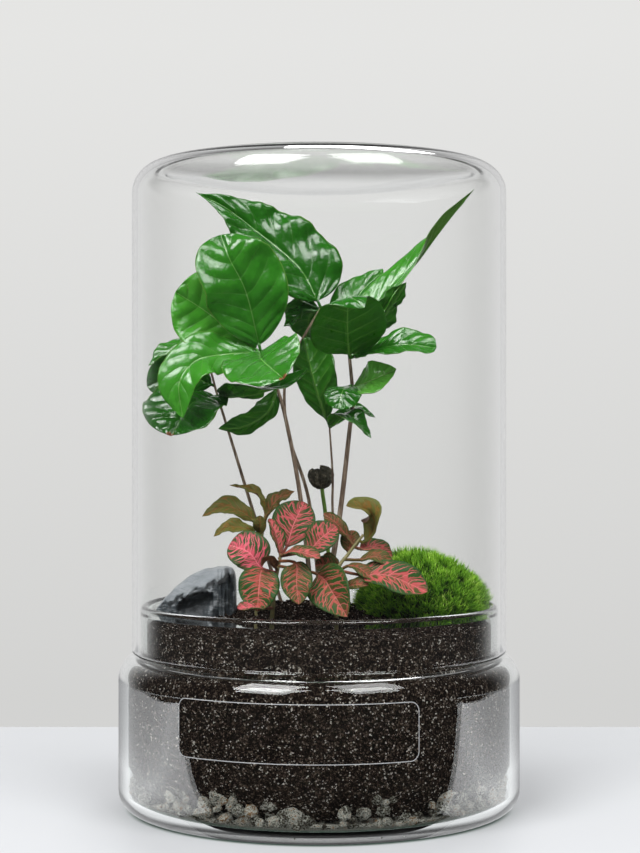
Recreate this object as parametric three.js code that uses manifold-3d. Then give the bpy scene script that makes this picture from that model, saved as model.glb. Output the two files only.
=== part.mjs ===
// Glass plant terrarium. A low round glass jar holds drainage gravel and dark soil. Five coffee
// seedlings, a sprouting coffee seed and three red-veined nerve plants grow in the soil, with a
// moss cushion and a dark stone beside them. A tall glass cover, open at the bottom, stands
// loose on the jar's shoulder round its neck.
// Millimetres, +Z up. The origin is on the table under the middle of the jar, and -Y is the front.
import * as THREE from 'three';
import { mergeVertices } from 'three/addons/utils/BufferGeometryUtils.js';
import Module from 'manifold-3d';

const wasm = await Module();
wasm.setup();

// ---------------------------------------------------------------- driving dimensions, mm
const GAP = 0.3; // clearance between pieces that lie against each other
const FACETS = 32; // facets round the glass and the soil

const JAR_RADIUS = 88;
const JAR_WALL = 4;
const JAR_FLOOR = 4.5;
const JAR_FOOT_ROUNDING = 8.5;
const JAR_SIDE_TOP = 56.5; // where the straight side turns into the shoulder
const SHOULDER_ROUNDING = 11.5;
const NECK_RADIUS = 78.4;
const NECK_WALL = 2.6;
const RIM_TOP = 89;
const RIM_BEAD = 3.6; // thickness of the rolled rim

const COVER_RADIUS = 82.1;
const COVER_WALL = 2.5;
const COVER_FOOT = 67.95;
const COVER_TOP = 281.4; // crest of the ring round the dished top
const COVER_SHOULDER = 13; // rounding between the side and the crest
const COVER_DISH = 6.4; // how far the middle of the top lies below the crest
const COVER_TOP_WALL = 3;

const GRAVEL_TOP = 17;
const GRAVEL_BED_TOP = 12;
const GRAVEL_BED_RADIUS = 79;
const STONE_COUNT = 38; // pumice stones that stand out of the gravel bed, along the glass
const STONE_SIZE = [3.2, 4.6];

const SOIL_EDGE = 80.5; // height of the soil against the neck
const SOIL_CROWN = 4.5; // how much higher the soil is in the middle
const SOIL_BUMP = 0.5;
const HOLE_DEPTH = 12;

const BLADE = 0.7; // thickness of a leaf
const STALK = 0.65; // radius of a leaf stalk
const NARROW = 10; // a blade up to this width has one row of faces on each side of its rib

const MOSS = { x: 47, y: 5, radius: 29, height: 28, tuft: 2.4, lean: 0.16 };
const SLATE = { x: -54.3, y: -2, length: 36, depth: 27, low: 5, high: 26 };

// ---------------------------------------------------------------- solids and geometries
// A closed triangle mesh as a solid: shared corners merged, triangles without area left out.
function solid(geometry) {
  const plain = geometry.clone();
  for (const name of ['normal', 'uv']) plain.deleteAttribute(name);
  const merged = mergeVertices(plain, 1e-4);
  const index = merged.index.array;
  const triVerts = [];
  for (let i = 0; i < index.length; i += 3) {
    const [a, b, c] = [index[i], index[i + 1], index[i + 2]];
    if (a !== b && b !== c && c !== a) triVerts.push(a, b, c);
  }
  return new wasm.Manifold(
    new wasm.Mesh({
      numProp: 3,
      vertProperties: new Float32Array(merged.attributes.position.array),
      triVerts: new Uint32Array(triVerts),
    }),
  );
}

function geometryOf(body) {
  const { vertProperties, triVerts } = body.getMesh();
  const geometry = new THREE.BufferGeometry();
  geometry.setAttribute('position', new THREE.BufferAttribute(vertProperties, 3));
  geometry.setIndex(new THREE.BufferAttribute(triVerts, 1));
  geometry.computeVertexNormals();
  return geometry;
}

const fuse = (geometries) => geometries.map(solid).reduce((all, next) => all.add(next));

// A profile of [radius, height] points turned about the Z axis.
function turned(profile) {
  const points = profile.map(([r, z]) => new THREE.Vector2(Math.max(r, 0), z));
  return new THREE.LatheGeometry(points, FACETS).rotateX(Math.PI / 2);
}

// Points of an arc in a profile, from one angle to another in degrees.
function arc(r, z, radius, from, to, steps) {
  return Array.from({ length: steps + 1 }, (_, i) => {
    const angle = THREE.MathUtils.degToRad(from + ((to - from) * i) / steps);
    return [r + radius * Math.cos(angle), z + radius * Math.sin(angle)];
  });
}

// Moves every vertex of a geometry by a function of its position.
function reshape(geometry, place) {
  const position = geometry.attributes.position;
  const at = new THREE.Vector3();
  for (let i = 0; i < position.count; i += 1) {
    at.fromBufferAttribute(position, i);
    place(at);
    position.setXYZ(i, at.x, at.y, at.z);
  }
  return geometry;
}

// Seeded random numbers from 0 to 1.
function randomFrom(seed) {
  let state = seed;
  return () => {
    state = (state * 1664525 + 1013904223) % 4294967296;
    return state / 4294967296;
  };
}

const between = (random, [low, high]) => low + (high - low) * random();
const vector = (p) => new THREE.Vector3(...p);
const curveThrough = (points) =>
  new THREE.CatmullRomCurve3(points.map(vector), false, 'catmullrom', 0.5);

// A round stalk along a curve through the given points.
function stalk(points, radius, steps = 2 * (points.length - 1), sides = 6) {
  const section = new THREE.Shape(
    Array.from({ length: sides }, (_, i) => {
      const angle = (2 * Math.PI * i) / sides;
      return new THREE.Vector2(radius * Math.cos(angle), radius * Math.sin(angle));
    }),
  );
  return new THREE.ExtrudeGeometry(section, {
    steps,
    bevelEnabled: false,
    extrudePath: curveThrough(points),
  });
}

// A direction that turns evenly through the given ones as u goes from 0 to 1.
function directionAt(directions, u) {
  const step = u * (directions.length - 1);
  const first = Math.floor(step);
  const next = Math.min(first + 1, directions.length - 1);
  return directions[first].clone().lerp(directions[next], step - first);
}

// ---------------------------------------------------------------- leaves
// A leaf is a blade along its rib, a curve through the points in `rib`. Its upper side faces the
// directions in `face`, spread evenly along the rib. The first part of the rib, `stem`, is the
// leaf's stalk. Beyond it the half width grows and shrinks as t^blunt (1 - t)^taper, the halves
// fold up from the rib by `fold` degrees, and the margin waves `waves` times by `wave` mm. Both
// sides of the blade have the same triangles.
function leaf({
  rib,
  face,
  width,
  fold = 12,
  wave = 1.2,
  waves = 2.5,
  blunt = 0.7,
  taper = 0.85,
  rows = 7,
  stem = 0.05,
}) {
  const curve = curveThrough(rib);
  const faces = face.map((direction) => vector(direction).normalize());
  const across = width > NARROW ? [-1, -0.5, 0, 0.5, 1] : [-1, 0, 1];
  const along = Array.from({ length: rows + 1 }, (_, i) => stem + ((1 - stem) * i) / rows);
  along.unshift(0);
  const widest = blunt / (blunt + taper);
  const full = widest ** blunt * (1 - widest) ** taper;
  const lift = THREE.MathUtils.degToRad(fold);

  const middle = along.map((u) => {
    const centre = curve.getPointAt(u);
    const tangent = curve.getTangentAt(u);
    const up = directionAt(faces, u);
    up.addScaledVector(tangent, -up.dot(tangent)).normalize();
    const side = new THREE.Vector3().crossVectors(tangent, up);
    const t = Math.max((u - stem) / (1 - stem), 0);
    const half = Math.max(((width / 2) * t ** blunt * (1 - t) ** taper) / full, STALK);
    return across.map((v) => {
      const out = half * Math.abs(v);
      const ripple = wave * (out / (width / 2)) * Math.sin(2 * Math.PI * waves * u + 2 * v);
      return centre
        .clone()
        .addScaledVector(side, half * v * Math.cos(lift))
        .addScaledVector(up, out * Math.sin(lift) + ripple);
    });
  });

  const columns = across.length;
  const rowCount = along.length;
  const at = (i, j) =>
    middle[THREE.MathUtils.clamp(i, 0, rowCount - 1)][THREE.MathUtils.clamp(j, 0, columns - 1)];
  const upper = [];
  const lower = [];
  for (let i = 0; i < rowCount; i += 1) {
    const thickness = i < 2 ? 2 * STALK : BLADE;
    for (let j = 0; j < columns; j += 1) {
      const alongRib = at(i + 1, j).clone().sub(at(i - 1, j));
      const acrossRib = at(i, j + 1).clone().sub(at(i, j - 1));
      const normal = acrossRib.cross(alongRib).normalize();
      upper.push(at(i, j).clone().addScaledVector(normal, thickness / 2));
      lower.push(at(i, j).clone().addScaledVector(normal, -thickness / 2));
    }
  }

  const count = upper.length;
  const index = [];
  for (let i = 0; i + 1 < rowCount; i += 1) {
    for (let j = 0; j + 1 < columns; j += 1) {
      const a = i * columns + j;
      const b = a + 1;
      const c = a + columns;
      const d = c + 1;
      index.push(a, b, c, b, d, c);
      index.push(count + a, count + c, count + b, count + b, count + c, count + d);
    }
  }
  const last = (rowCount - 1) * columns;
  const margin = [];
  for (let j = 0; j < columns - 1; j += 1) margin.push(j);
  for (let i = 0; i < rowCount - 1; i += 1) margin.push(i * columns + columns - 1);
  for (let j = columns - 1; j > 0; j -= 1) margin.push(last + j);
  for (let i = rowCount - 1; i > 0; i -= 1) margin.push(i * columns);
  margin.forEach((p, i) => {
    const q = margin[(i + 1) % margin.length];
    index.push(p, count + p, count + q, p, count + q, q);
  });

  const geometry = new THREE.BufferGeometry();
  const corners = [...upper, ...lower].flatMap((p) => [p.x, p.y, p.z]);
  geometry.setAttribute('position', new THREE.Float32BufferAttribute(corners, 3));
  geometry.setIndex(index);
  return geometry;
}

// ---------------------------------------------------------------- glass
const jarProfile = [
  [0, 0],
  ...arc(JAR_RADIUS - JAR_FOOT_ROUNDING, JAR_FOOT_ROUNDING, JAR_FOOT_ROUNDING, -90, 0, 3),
  ...arc(JAR_RADIUS - SHOULDER_ROUNDING, JAR_SIDE_TOP, SHOULDER_ROUNDING, 0, 80, 4),
  [NECK_RADIUS, RIM_TOP - RIM_BEAD],
  ...arc(NECK_RADIUS - RIM_BEAD / 2, RIM_TOP - RIM_BEAD / 2, RIM_BEAD / 2, 0, 180, 4),
  [NECK_RADIUS - NECK_WALL, RIM_TOP - RIM_BEAD],
  [NECK_RADIUS - NECK_WALL, JAR_SIDE_TOP + SHOULDER_ROUNDING - 1.5],
  ...arc(
    JAR_RADIUS - SHOULDER_ROUNDING,
    JAR_SIDE_TOP,
    SHOULDER_ROUNDING - JAR_WALL,
    80,
    0,
    3,
  ),
  ...arc(
    JAR_RADIUS - JAR_FOOT_ROUNDING,
    JAR_FLOOR + JAR_FOOT_ROUNDING - JAR_WALL,
    JAR_FOOT_ROUNDING - JAR_WALL,
    0,
    -90,
    2,
  ),
  [0, JAR_FLOOR],
];

// The top of the cover: a shallow dish inside a round crest.
const CREST_RADIUS = COVER_RADIUS - COVER_SHOULDER;
function dish(thickness) {
  const rows = [0, 0.35, 0.65, 0.85];
  return rows.map((t) => [
    CREST_RADIUS * t,
    COVER_TOP - thickness - COVER_DISH * (1 - t ** 3),
  ]);
}
const coverProfile = [
  [COVER_RADIUS - COVER_WALL, COVER_FOOT + 1],
  [COVER_RADIUS - COVER_WALL + 0.7, COVER_FOOT],
  [COVER_RADIUS - 0.7, COVER_FOOT],
  [COVER_RADIUS, COVER_FOOT + 1],
  ...arc(CREST_RADIUS, COVER_TOP - COVER_SHOULDER, COVER_SHOULDER, 0, 90, 4),
  ...dish(0).reverse(),
  ...dish(COVER_TOP_WALL),
  ...arc(
    CREST_RADIUS,
    COVER_TOP - COVER_SHOULDER,
    COVER_SHOULDER - COVER_WALL,
    90,
    0,
    4,
  ),
];
coverProfile.push(coverProfile[0]);

// ---------------------------------------------------------------- soil, gravel, moss, stone
const bump = (x, y) => SOIL_BUMP * (Math.sin(0.31 * x + 1) * Math.cos(0.27 * y) - 0.2);
const neckInside = NECK_RADIUS - NECK_WALL - GAP;
const jarInside = JAR_RADIUS - JAR_WALL - GAP;

function soilGeometry() {
  const rings = [1, 0.86, 0.72, 0.58, 0.44, 0.3, 0.15, 0];
  const crown = rings.map((t) => [
    neckInside * t,
    SOIL_EDGE + SOIL_CROWN * (1 - t * t),
  ]);
  const ground = turned([
    [0, GRAVEL_TOP + GAP],
    [jarInside, GRAVEL_TOP + GAP],
    ...arc(
      JAR_RADIUS - SHOULDER_ROUNDING,
      JAR_SIDE_TOP,
      SHOULDER_ROUNDING - JAR_WALL - GAP,
      0,
      80,
      3,
    ),
    [neckInside, JAR_SIDE_TOP + SHOULDER_ROUNDING - 1.2],
    ...crown,
  ]);
  return reshape(ground, (p) => {
    const inner = 1 - Math.min(Math.hypot(p.x, p.y) / neckInside, 1) ** 4;
    if (p.z >= SOIL_EDGE) p.z += bump(p.x, p.y) * inner;
  });
}

// The room that the pieces on the soil may fill: inside the neck, and wider above the rim.
const plantingRoom = solid(
  turned([
    [0, SOIL_EDGE - 10],
    [neckInside - 1.1, SOIL_EDGE - 10],
    [neckInside - 1.1, RIM_TOP + 0.5],
    [COVER_RADIUS - COVER_WALL - 1, RIM_TOP + 3],
    [COVER_RADIUS - COVER_WALL - 1, RIM_TOP + 60],
    [0, RIM_TOP + 60],
  ]),
);
const groundBelow = solid(soilGeometry().translate(0, 0, GAP));
const laidOnSoil = (body) => body.intersect(plantingRoom).subtract(groundBelow);

function gravel() {
  const random = randomFrom(7);
  const bed = new THREE.CylinderGeometry(
    GRAVEL_BED_RADIUS,
    GRAVEL_BED_RADIUS,
    GRAVEL_BED_TOP - JAR_FLOOR - GAP,
    FACETS,
  )
    .rotateX(Math.PI / 2)
    .translate(0, 0, (GRAVEL_BED_TOP + JAR_FLOOR + GAP) / 2);
  const stones = Array.from({ length: STONE_COUNT }, (_, i) => {
    const size = between(random, STONE_SIZE);
    const angle = (2 * Math.PI * (i + 0.5 * random())) / STONE_COUNT;
    const radius = GRAVEL_BED_RADIUS + 1 - 2 * random();
    const height = i % 2 ? 8.5 + 2 * random() : GRAVEL_BED_TOP + 1.5 * random();
    return new THREE.OctahedronGeometry(size, 0)
      .scale(1.3, 1.05, 1)
      .rotateX(3 * random())
      .rotateZ(6 * random())
      .translate(radius * Math.sin(angle), radius * Math.cos(angle), height);
  });
  const room = turned([
    [0, JAR_FLOOR + GAP],
    [JAR_RADIUS - JAR_FOOT_ROUNDING - 1, JAR_FLOOR + GAP],
    [jarInside - 1, JAR_FLOOR + 3.4],
    [jarInside, JAR_FLOOR + 6],
    [jarInside, GRAVEL_TOP],
    [0, GRAVEL_TOP],
  ]);
  return fuse([bed, ...stones]).intersect(solid(room));
}

// A dome whose alternate corners stand out as tufts, laid on the soil against the glass.
function moss() {
  const dome = new THREE.SphereGeometry(1, 26, 14).rotateX(Math.PI / 2);
  const tufted = reshape(dome, (p) => {
    const spin = Math.round((Math.atan2(p.y, p.x) / (2 * Math.PI)) * 26);
    const ring = Math.round((Math.acos(THREE.MathUtils.clamp(p.z, -1, 1)) / Math.PI) * 14);
    const tuft = (spin + ring) % 2 === 0 && ring > 0 ? MOSS.tuft : 0;
    const lobe = 1 + 0.05 * Math.sin(3 * Math.atan2(p.y, p.x) + 1);
    p.x *= MOSS.radius * lobe + tuft;
    p.y *= MOSS.radius * lobe + tuft;
    p.z *= (MOSS.height + tuft) * (1 - MOSS.lean * (p.x / MOSS.radius));
  });
  return laidOnSoil(solid(tufted.translate(MOSS.x, MOSS.y, SOIL_EDGE + 2)));
}

// A worn wedge of slate: low at the left, high at the right, with a hollow scooped in its front.
function slate() {
  const square = (n) => Math.sign(n) * Math.abs(n) ** 0.75;
  const wedge = reshape(new THREE.IcosahedronGeometry(1, 3), (p) => {
    const t = (square(p.x) + 1) / 2;
    const height = THREE.MathUtils.lerp(SLATE.low, SLATE.high, t ** 0.75);
    const ripple = 1 + 0.04 * Math.sin(5 * p.x + 2) * Math.cos(4 * p.y);
    p.y = square(p.y) * (SLATE.depth / 2) * (0.7 + 0.3 * t) * ripple;
    p.x = square(p.x) * (SLATE.length / 2);
    p.z = square(p.z) * height * ripple;
  });
  const hollow = new THREE.IcosahedronGeometry(11, 3)
    .scale(1.15, 0.62, 0.85)
    .rotateY(0.35)
    .translate(2, -15.6, 6.5);
  const worn = solid(wedge).subtract(solid(hollow));
  const onGround = geometryOf(worn).translate(SLATE.x, SLATE.y, SOIL_EDGE + 3.6);
  return laidOnSoil(solid(onGround));
}

// ---------------------------------------------------------------- plants
// Each plant: its stem's route from the soil up, the stem's radius, and its leaves. The blades of
// the nerve plants start at the end of a long stalk, which leaves the stem at `from`.
const COFFEE = { fold: 12, wave: 1.4, waves: 2.5 };
const UNDER = { fold: 10, wave: 1.2, waves: 2 };

const plants = {
  coffee_left: {
    radius: 0.8,
    colour: 0x2f6b26,
    stem: [
      [-16, 12, 73],
      [-16, 12, 84],
      [-18.5, 12, 93],
      [-29.5, 11, 128.5],
      [-39.5, 8, 161.5],
      [-45, 4, 180],
      [-48.5, 4, 193],
    ],
    leaves: [
      {
        rib: [[-48, 5, 192], [-62, 8, 201.5], [-76.5, 6, 193.5]],
        face: [[-0.1, -0.5, 0.85], [-0.3, -0.6, 0.7]],
        width: 15,
        ...COFFEE,
      },
      {
        rib: [[-46.2, 4, 184.5], [-62, 1, 189.5], [-76, -2, 184]],
        face: [[0, -0.8, 0.55], [-0.3, -0.85, 0.4]],
        width: 20,
        ...COFFEE,
        taper: 0.6,
      },
      {
        rib: [[-45, 4, 180], [-55, -11, 177], [-63.5, -23, 162.5]],
        face: [[-0.2, -0.5, 0.85], [-0.35, -0.75, 0.5]],
        width: 38,
        ...COFFEE,
        taper: 0.5,
      },
      {
        rib: [[-45, 4, 180], [-30, -23, 180.5], [-14, -25, 185], [-4.5, -23, 191.5]],
        face: [[0.1, 0.5, 0.8], [0, 0.75, 0.6]],
        width: 18,
        ...UNDER,
      },
    ],
  },
  coffee_middle: {
    radius: 1.05,
    colour: 0x3d8b2c,
    stem: [
      [-2.6, -3, 73],
      [-2.6, -3, 85],
      [-8, -3.5, 134],
      [-14, -5, 167],
      [-19, -6, 185],
      [-26, -8.5, 199],
    ],
    leaves: [
      {
        rib: [[-25.5, -8.5, 199.5], [-31.5, -15, 224.5], [-38.5, -19, 239], [-42.5, -14, 249.5]],
        face: [[0.1, -0.95, 0.25], [0, -0.9, 0.35], [-0.1, -0.6, 0.7]],
        width: 38,
        fold: 10,
        wave: 1.2,
        taper: 0.6,
      },
      {
        rib: [[-26, -8.5, 199], [-41, -9, 210.5], [-51, -11, 218], [-62, -14, 225]],
        face: [[0.1, -0.85, 0.5], [-0.2, -0.9, 0.4]],
        width: 40,
        ...COFFEE,
        taper: 0.5,
      },
      {
        rib: [
          [-26, -9, 199],
          [-42, -18, 197.5],
          [-52.5, -25, 194.5],
          [-59, -30, 185],
          [-57.5, -31, 170],
        ],
        face: [[0.1, -0.75, 0.65], [0, -0.85, 0.5], [-0.2, -0.9, 0.35], [-0.35, -0.9, 0.1]],
        width: 23,
        ...COFFEE,
      },
      {
        rib: [[-26, -9.5, 199], [-24.3, -27, 195], [-14.5, -42, 186.5]],
        face: [[-0.3, -0.45, 0.85], [-0.4, -0.6, 0.7]],
        width: 36,
        ...COFFEE,
        taper: 0.6,
      },
      {
        rib: [[-18.5, -6, 184], [-22.5, -8, 173.5], [-32.5, -8, 167], [-44, -6, 165.5]],
        face: [[-0.4, 0.75, 0.5]],
        width: 16,
        ...UNDER,
      },
    ],
  },
  coffee_rear: {
    radius: 0.8,
    colour: 0x2a6a2a,
    stem: [
      [0.5, 7, 73],
      [0.5, 7, 84],
      [0.1, 7, 92],
      [-4.5, 7, 133.5],
      [-13, 8, 160.5],
      [-15.5, 9, 177],
      [-14, 9, 191.5],
      [-6.5, 9, 207],
      [1, 8, 219.5],
    ],
    leaves: [
      {
        rib: [[1, 8, 219], [-8.8, 11, 237.5], [-29.5, 12, 255.3], [-43.5, 10, 265.5], [-55, 8, 270.5]],
        face: [[0.35, -0.85, 0.4], [0.2, -0.85, 0.5], [0, -0.85, 0.55]],
        width: 41,
        fold: 8,
        wave: 2.2,
        waves: 4.5,
        blunt: 0.5,
        taper: 1.05,
        rows: 9,
      },
      {
        rib: [[0.5, 8.5, 218], [-7, 14, 218], [-16, 17, 211.5]],
        face: [[0.2, -0.6, 0.8]],
        width: 12,
        ...COFFEE,
        rows: 5,
      },
      {
        rib: [[1, 9, 219], [-4, 24, 218], [-6, 39, 206]],
        face: [[0, 0.3, 0.95], [0, 0.8, 0.6]],
        width: 24,
        ...COFFEE,
        rows: 6,
      },
    ],
  },
  coffee_slim: {
    radius: 0.65,
    colour: 0x245a20,
    stem: [
      [8, 7, 73],
      [8, 7, 85],
      [6, 5, 128.5],
      [6, 4, 144.5],
      [4.5, 2, 168],
    ],
    leaves: [
      {
        rib: [[4.5, 2, 167], [-1, 0, 184], [-6.5, 3, 206]],
        face: [[0.3, 0.85, 0.3], [0.55, 0.8, 0.2]],
        width: 22.5,
        ...UNDER,
        blunt: 1,
        taper: 0.7,
      },
      {
        rib: [[4.5, 2, 166.5], [13, -11.5, 171.5], [22.5, -13, 161.5]],
        face: [[-0.1, -0.45, 0.85], [0.5, -0.5, 0.6]],
        width: 13,
        ...COFFEE,
        rows: 6,
      },
      {
        rib: [[4.6, 2.5, 166], [15, 7, 174], [25, 6, 170.5]],
        face: [[0, -0.4, 0.9]],
        width: 9,
        ...COFFEE,
        rows: 5,
      },
    ],
  },
  coffee_right: {
    radius: 1.2,
    colour: 0x357f28,
    stem: [
      [2.6, -2, 73],
      [2.6, -2, 84],
      [3.3, -2, 92],
      [9, -2, 127],
      [13.3, -2, 164],
      [14.8, -2, 178.5],
      [13.3, -1.5, 198],
    ],
    leaves: [
      {
        rib: [
          [13.5, -1, 197],
          [27.5, 7, 222],
          [42.5, 11, 239],
          [51.5, 11, 251],
          [60, 9, 261.5],
          [69, 5, 271.5],
        ],
        face: [
          [-0.5, -0.65, 0.55],
          [-0.5, -0.7, 0.5],
          [-0.5, -0.75, 0.45],
          [-0.5, -0.75, 0.45],
          [-0.6, -0.6, 0.5],
          [-0.8, 0, 0.6],
          [-0.5, -0.75, 0.4],
          [-0.5, -0.75, 0.4],
        ],
        width: 18.5,
        fold: 22,
        wave: 0.6,
        taper: 1.1,
        rows: 10,
      },
      {
        rib: [[13.3, 0, 197], [16, 15, 222], [29, 25, 238]],
        face: [[-0.3, -0.8, 0.5]],
        width: 22,
        ...COFFEE,
        rows: 5,
      },
      {
        rib: [
          [13.3, -2.5, 197],
          [12.3, -13, 206],
          [12, -22, 214.5],
          [12.5, -29, 221],
          [15, -34, 220.5],
          [19, -37, 216.5],
        ],
        face: [
          [0, 0.9, 0.4],
          [-0.1, 0.9, 0.4],
          [-0.2, 0.8, 0.6],
          [-0.25, 0.3, 0.9],
          [-0.4, -0.6, 0.8],
        ],
        width: 34,
        fold: -10,
        wave: 0.6,
        blunt: 0.6,
        taper: 0.9,
      },
      {
        rib: [[14, -1, 197], [25.5, 2, 211.5], [38.5, 1, 230]],
        face: [[-0.45, 0.65, 0.6]],
        width: 18,
        fold: 8,
        wave: 1.8,
        waves: 3.5,
      },
      {
        rib: [[13.5, -3, 196.5], [27, -13, 200.5], [37.5, -17, 202], [50.5, -18, 200.5]],
        face: [[-0.1, -0.6, 0.8], [0, -0.65, 0.75], [0.1, -0.65, 0.75]],
        width: 17,
        fold: 12,
        wave: 0.5,
        taper: 0.35,
      },
      {
        rib: [[14.5, -2, 183.5], [22.5, -9, 187], [33.5, -11, 191.5]],
        face: [[0.15, -0.75, 0.6], [-0.2, -0.8, 0.6]],
        width: 14,
        ...COFFEE,
        rows: 6,
      },
      {
        rib: [[14.3, -2.5, 184.5], [10.5, -14, 182.5], [8, -19, 174]],
        face: [[0, -0.3, 0.95], [-0.1, -0.85, 0.5]],
        width: 16,
        fold: -12,
        wave: 0.8,
        taper: 0.55,
        rows: 6,
      },
    ],
  },
  fittonia_left: {
    radius: 0.95,
    colour: 0x8a4a48,
    stem: [
      [-20, -27, 73],
      [-20, -27, 85],
      [-18.5, -25.5, 100],
      [-16.2, -24.5, 112],
    ],
    leaves: [
      {
        from: [-17, -24.5, 110],
        rib: [[-13.8, -17.5, 115], [-11.2, -15, 123.5], [-6.5, -12, 133.8]],
        face: [[-0.2, -0.9, 0.35]],
        width: 20,
      },
      {
        from: [-18, -25, 104],
        rib: [[-24.5, -26, 106.2], [-29.8, -26.5, 112.8], [-38.3, -24, 116]],
        face: [[0.1, -0.85, 0.5]],
        width: 19,
      },
      {
        from: [-18, -25, 103],
        rib: [[-24, -28, 105.5], [-25.2, -34, 98.5], [-25.8, -38, 88.9]],
        face: [[0, -0.85, 0.5]],
        width: 18,
      },
      {
        from: [-17, -24.7, 109],
        rib: [[-10, -30, 108.5], [-9.4, -36, 100], [-8.5, -40, 92]],
        face: [[0, -0.85, 0.5]],
        width: 15,
      },
      {
        from: [-17.5, -25, 107],
        rib: [[-0.5, -27, 103.5], [6, -35, 96], [11.7, -43, 87]],
        face: [[-0.45, -0.7, 0.5]],
        width: 23,
        fold: 22,
      },
      {
        from: [-16.4, -24.6, 111],
        rib: [[-16.7, -24, 112.4], [-18.4, -22, 120], [-21.4, -19.5, 127]],
        face: [[0.75, -0.6, 0.1]],
        width: 9,
      },
      {
        from: [-16.3, -24.6, 111],
        rib: [[-14.5, -26, 112.2], [-8.5, -31, 113.4], [0.4, -35, 110.8]],
        face: [[0, -0.45, 0.9]],
        width: 10,
      },
      {
        from: [-16.6, -24.6, 111],
        rib: [[-5, -22, 113.3], [0.9, -21.5, 118.7], [7.5, -19.5, 123.6]],
        face: [[-0.25, -0.85, 0.45]],
        width: 15,
      },
      {
        from: [-18, -25, 105],
        rib: [[-18.5, -27, 106.5], [-21.5, -31, 110.5], [-24.5, -32.5, 107.5]],
        face: [[0.2, 0.3, 0.9]],
        width: 7,
      },
      {
        from: [-19.7, -26.8, 89],
        rib: [[-23.5, -34, 89.8], [-28, -39.5, 91], [-33.8, -42.5, 90.4]],
        face: [[0, -0.5, 0.85]],
        width: 8,
      },
    ],
  },
  fittonia_rear: {
    radius: 0.8,
    colour: 0x5a5a36,
    stem: [
      [-27, -16, 73],
      [-27, -16, 84],
      [-26.9, -15.5, 90],
      [-26, -11, 108],
      [-23.6, -7, 128],
    ],
    leaves: [
      {
        from: [-24.3, -8, 122],
        rib: [[-23.3, -6.5, 128.5], [-25.2, -5, 135], [-30, -4, 139], [-39.3, -3.5, 140.8]],
        face: [[0.75, -0.4, 0.6], [0.3, -0.5, 0.9]],
        width: 7,
      },
      {
        from: [-24, -7.5, 124],
        rib: [[-22.5, -7.5, 128], [-18.5, -7, 134.5], [-10.7, -7, 138.2]],
        face: [[-0.35, -0.7, 0.65]],
        width: 9,
      },
      {
        from: [-25, -9, 117],
        rib: [[-28.3, -8.5, 125], [-34.5, -9, 129.8], [-41.5, -9.5, 131.8], [-50.8, -10, 127.4]],
        face: [[0.1, -0.75, 0.65], [-0.1, -0.7, 0.7]],
        width: 11,
        wave: 1.4,
      },
      {
        from: [-25.7, -10.5, 111],
        rib: [[-28, -12, 120], [-33, -14, 122.6], [-39.5, -15.5, 123], [-45.4, -16, 119]],
        face: [[0, -0.65, 0.75]],
        width: 9,
      },
      {
        from: [-25.5, -10, 113],
        rib: [[-25.8, -12, 120], [-25.6, -14, 124], [-25.4, -14.5, 128]],
        face: [[-0.1, -0.9, 0.3]],
        width: 6,
      },
    ],
  },
  fittonia_right: {
    radius: 0.95,
    colour: 0x7f4340,
    stem: [
      [7.3, -24, 73],
      [7.3, -24, 85],
      [7.7, -24, 104],
      [13, -22, 112.5],
      [19, -20, 120],
    ],
    leaves: [
      {
        from: [17, -20.6, 117.5],
        rib: [[20, -20.3, 117], [23.6, -21, 123], [23, -22, 128.8], [18.5, -24, 131.6], [11.5, -26, 132.6]],
        face: [[-0.8, -0.5, 0.2], [-0.6, -0.6, 0.4], [-0.2, -0.6, 0.75]],
        width: 12,
        fold: 28,
        rows: 6,
      },
      {
        from: [15, -21.3, 115],
        rib: [[12.2, -17, 119], [7, -15, 125], [2, -13.5, 128.8]],
        face: [[0.3, -0.8, 0.5]],
        width: 7,
      },
      {
        from: [12, -22.3, 111],
        rib: [[12.8, -17, 112.5], [13.6, -14.5, 117], [14.2, -12, 121.5]],
        face: [[-0.2, -0.85, 0.4]],
        width: 9,
      },
      {
        from: [15, -21.3, 115],
        rib: [[17.5, -20, 114], [24, -18, 114.8], [31.5, -16, 110.5]],
        face: [[0, -0.6, 0.8]],
        width: 10,
      },
      {
        from: [11, -22.6, 109.5],
        rib: [[17.5, -24, 109.5], [24, -26, 111], [31.7, -26, 107.6]],
        face: [[0, -0.5, 0.85]],
        width: 9,
      },
      {
        from: [8.5, -23.8, 105],
        rib: [[16.7, -28, 105], [29, -33, 105.5], [45.3, -36.5, 98.5]],
        face: [[0.05, -0.75, 0.65]],
        width: 18,
        wave: 1,
      },
      {
        from: [8.2, -23.9, 104.5],
        rib: [[12.5, -25.5, 107], [17.5, -29, 106], [22.5, -31.5, 101.5]],
        face: [[0, -0.5, 0.85]],
        width: 7,
      },
      {
        from: [7.6, -24, 98],
        rib: [[9.5, -28, 97.5], [15, -31.5, 99.5], [20.8, -34.5, 99.5]],
        face: [[0, -0.6, 0.8]],
        width: 8,
      },
      {
        from: [7.7, -24, 103],
        rib: [[6.8, -21.5, 105.3], [3, -20, 107], [-1.7, -19, 106.8]],
        face: [[0.2, -0.8, 0.5]],
        width: 9,
      },
      {
        from: [7.7, -24, 104],
        rib: [[7.4, -19.5, 106], [5, -17.5, 109], [2.2, -16.5, 111.5]],
        face: [[0.4, -0.8, 0.4]],
        width: 6,
      },
    ],
  },
};

const FITTONIA = { fold: 14, wave: 0.5, waves: 2, blunt: 0.6, taper: 0.55, rows: 4 };

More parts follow.
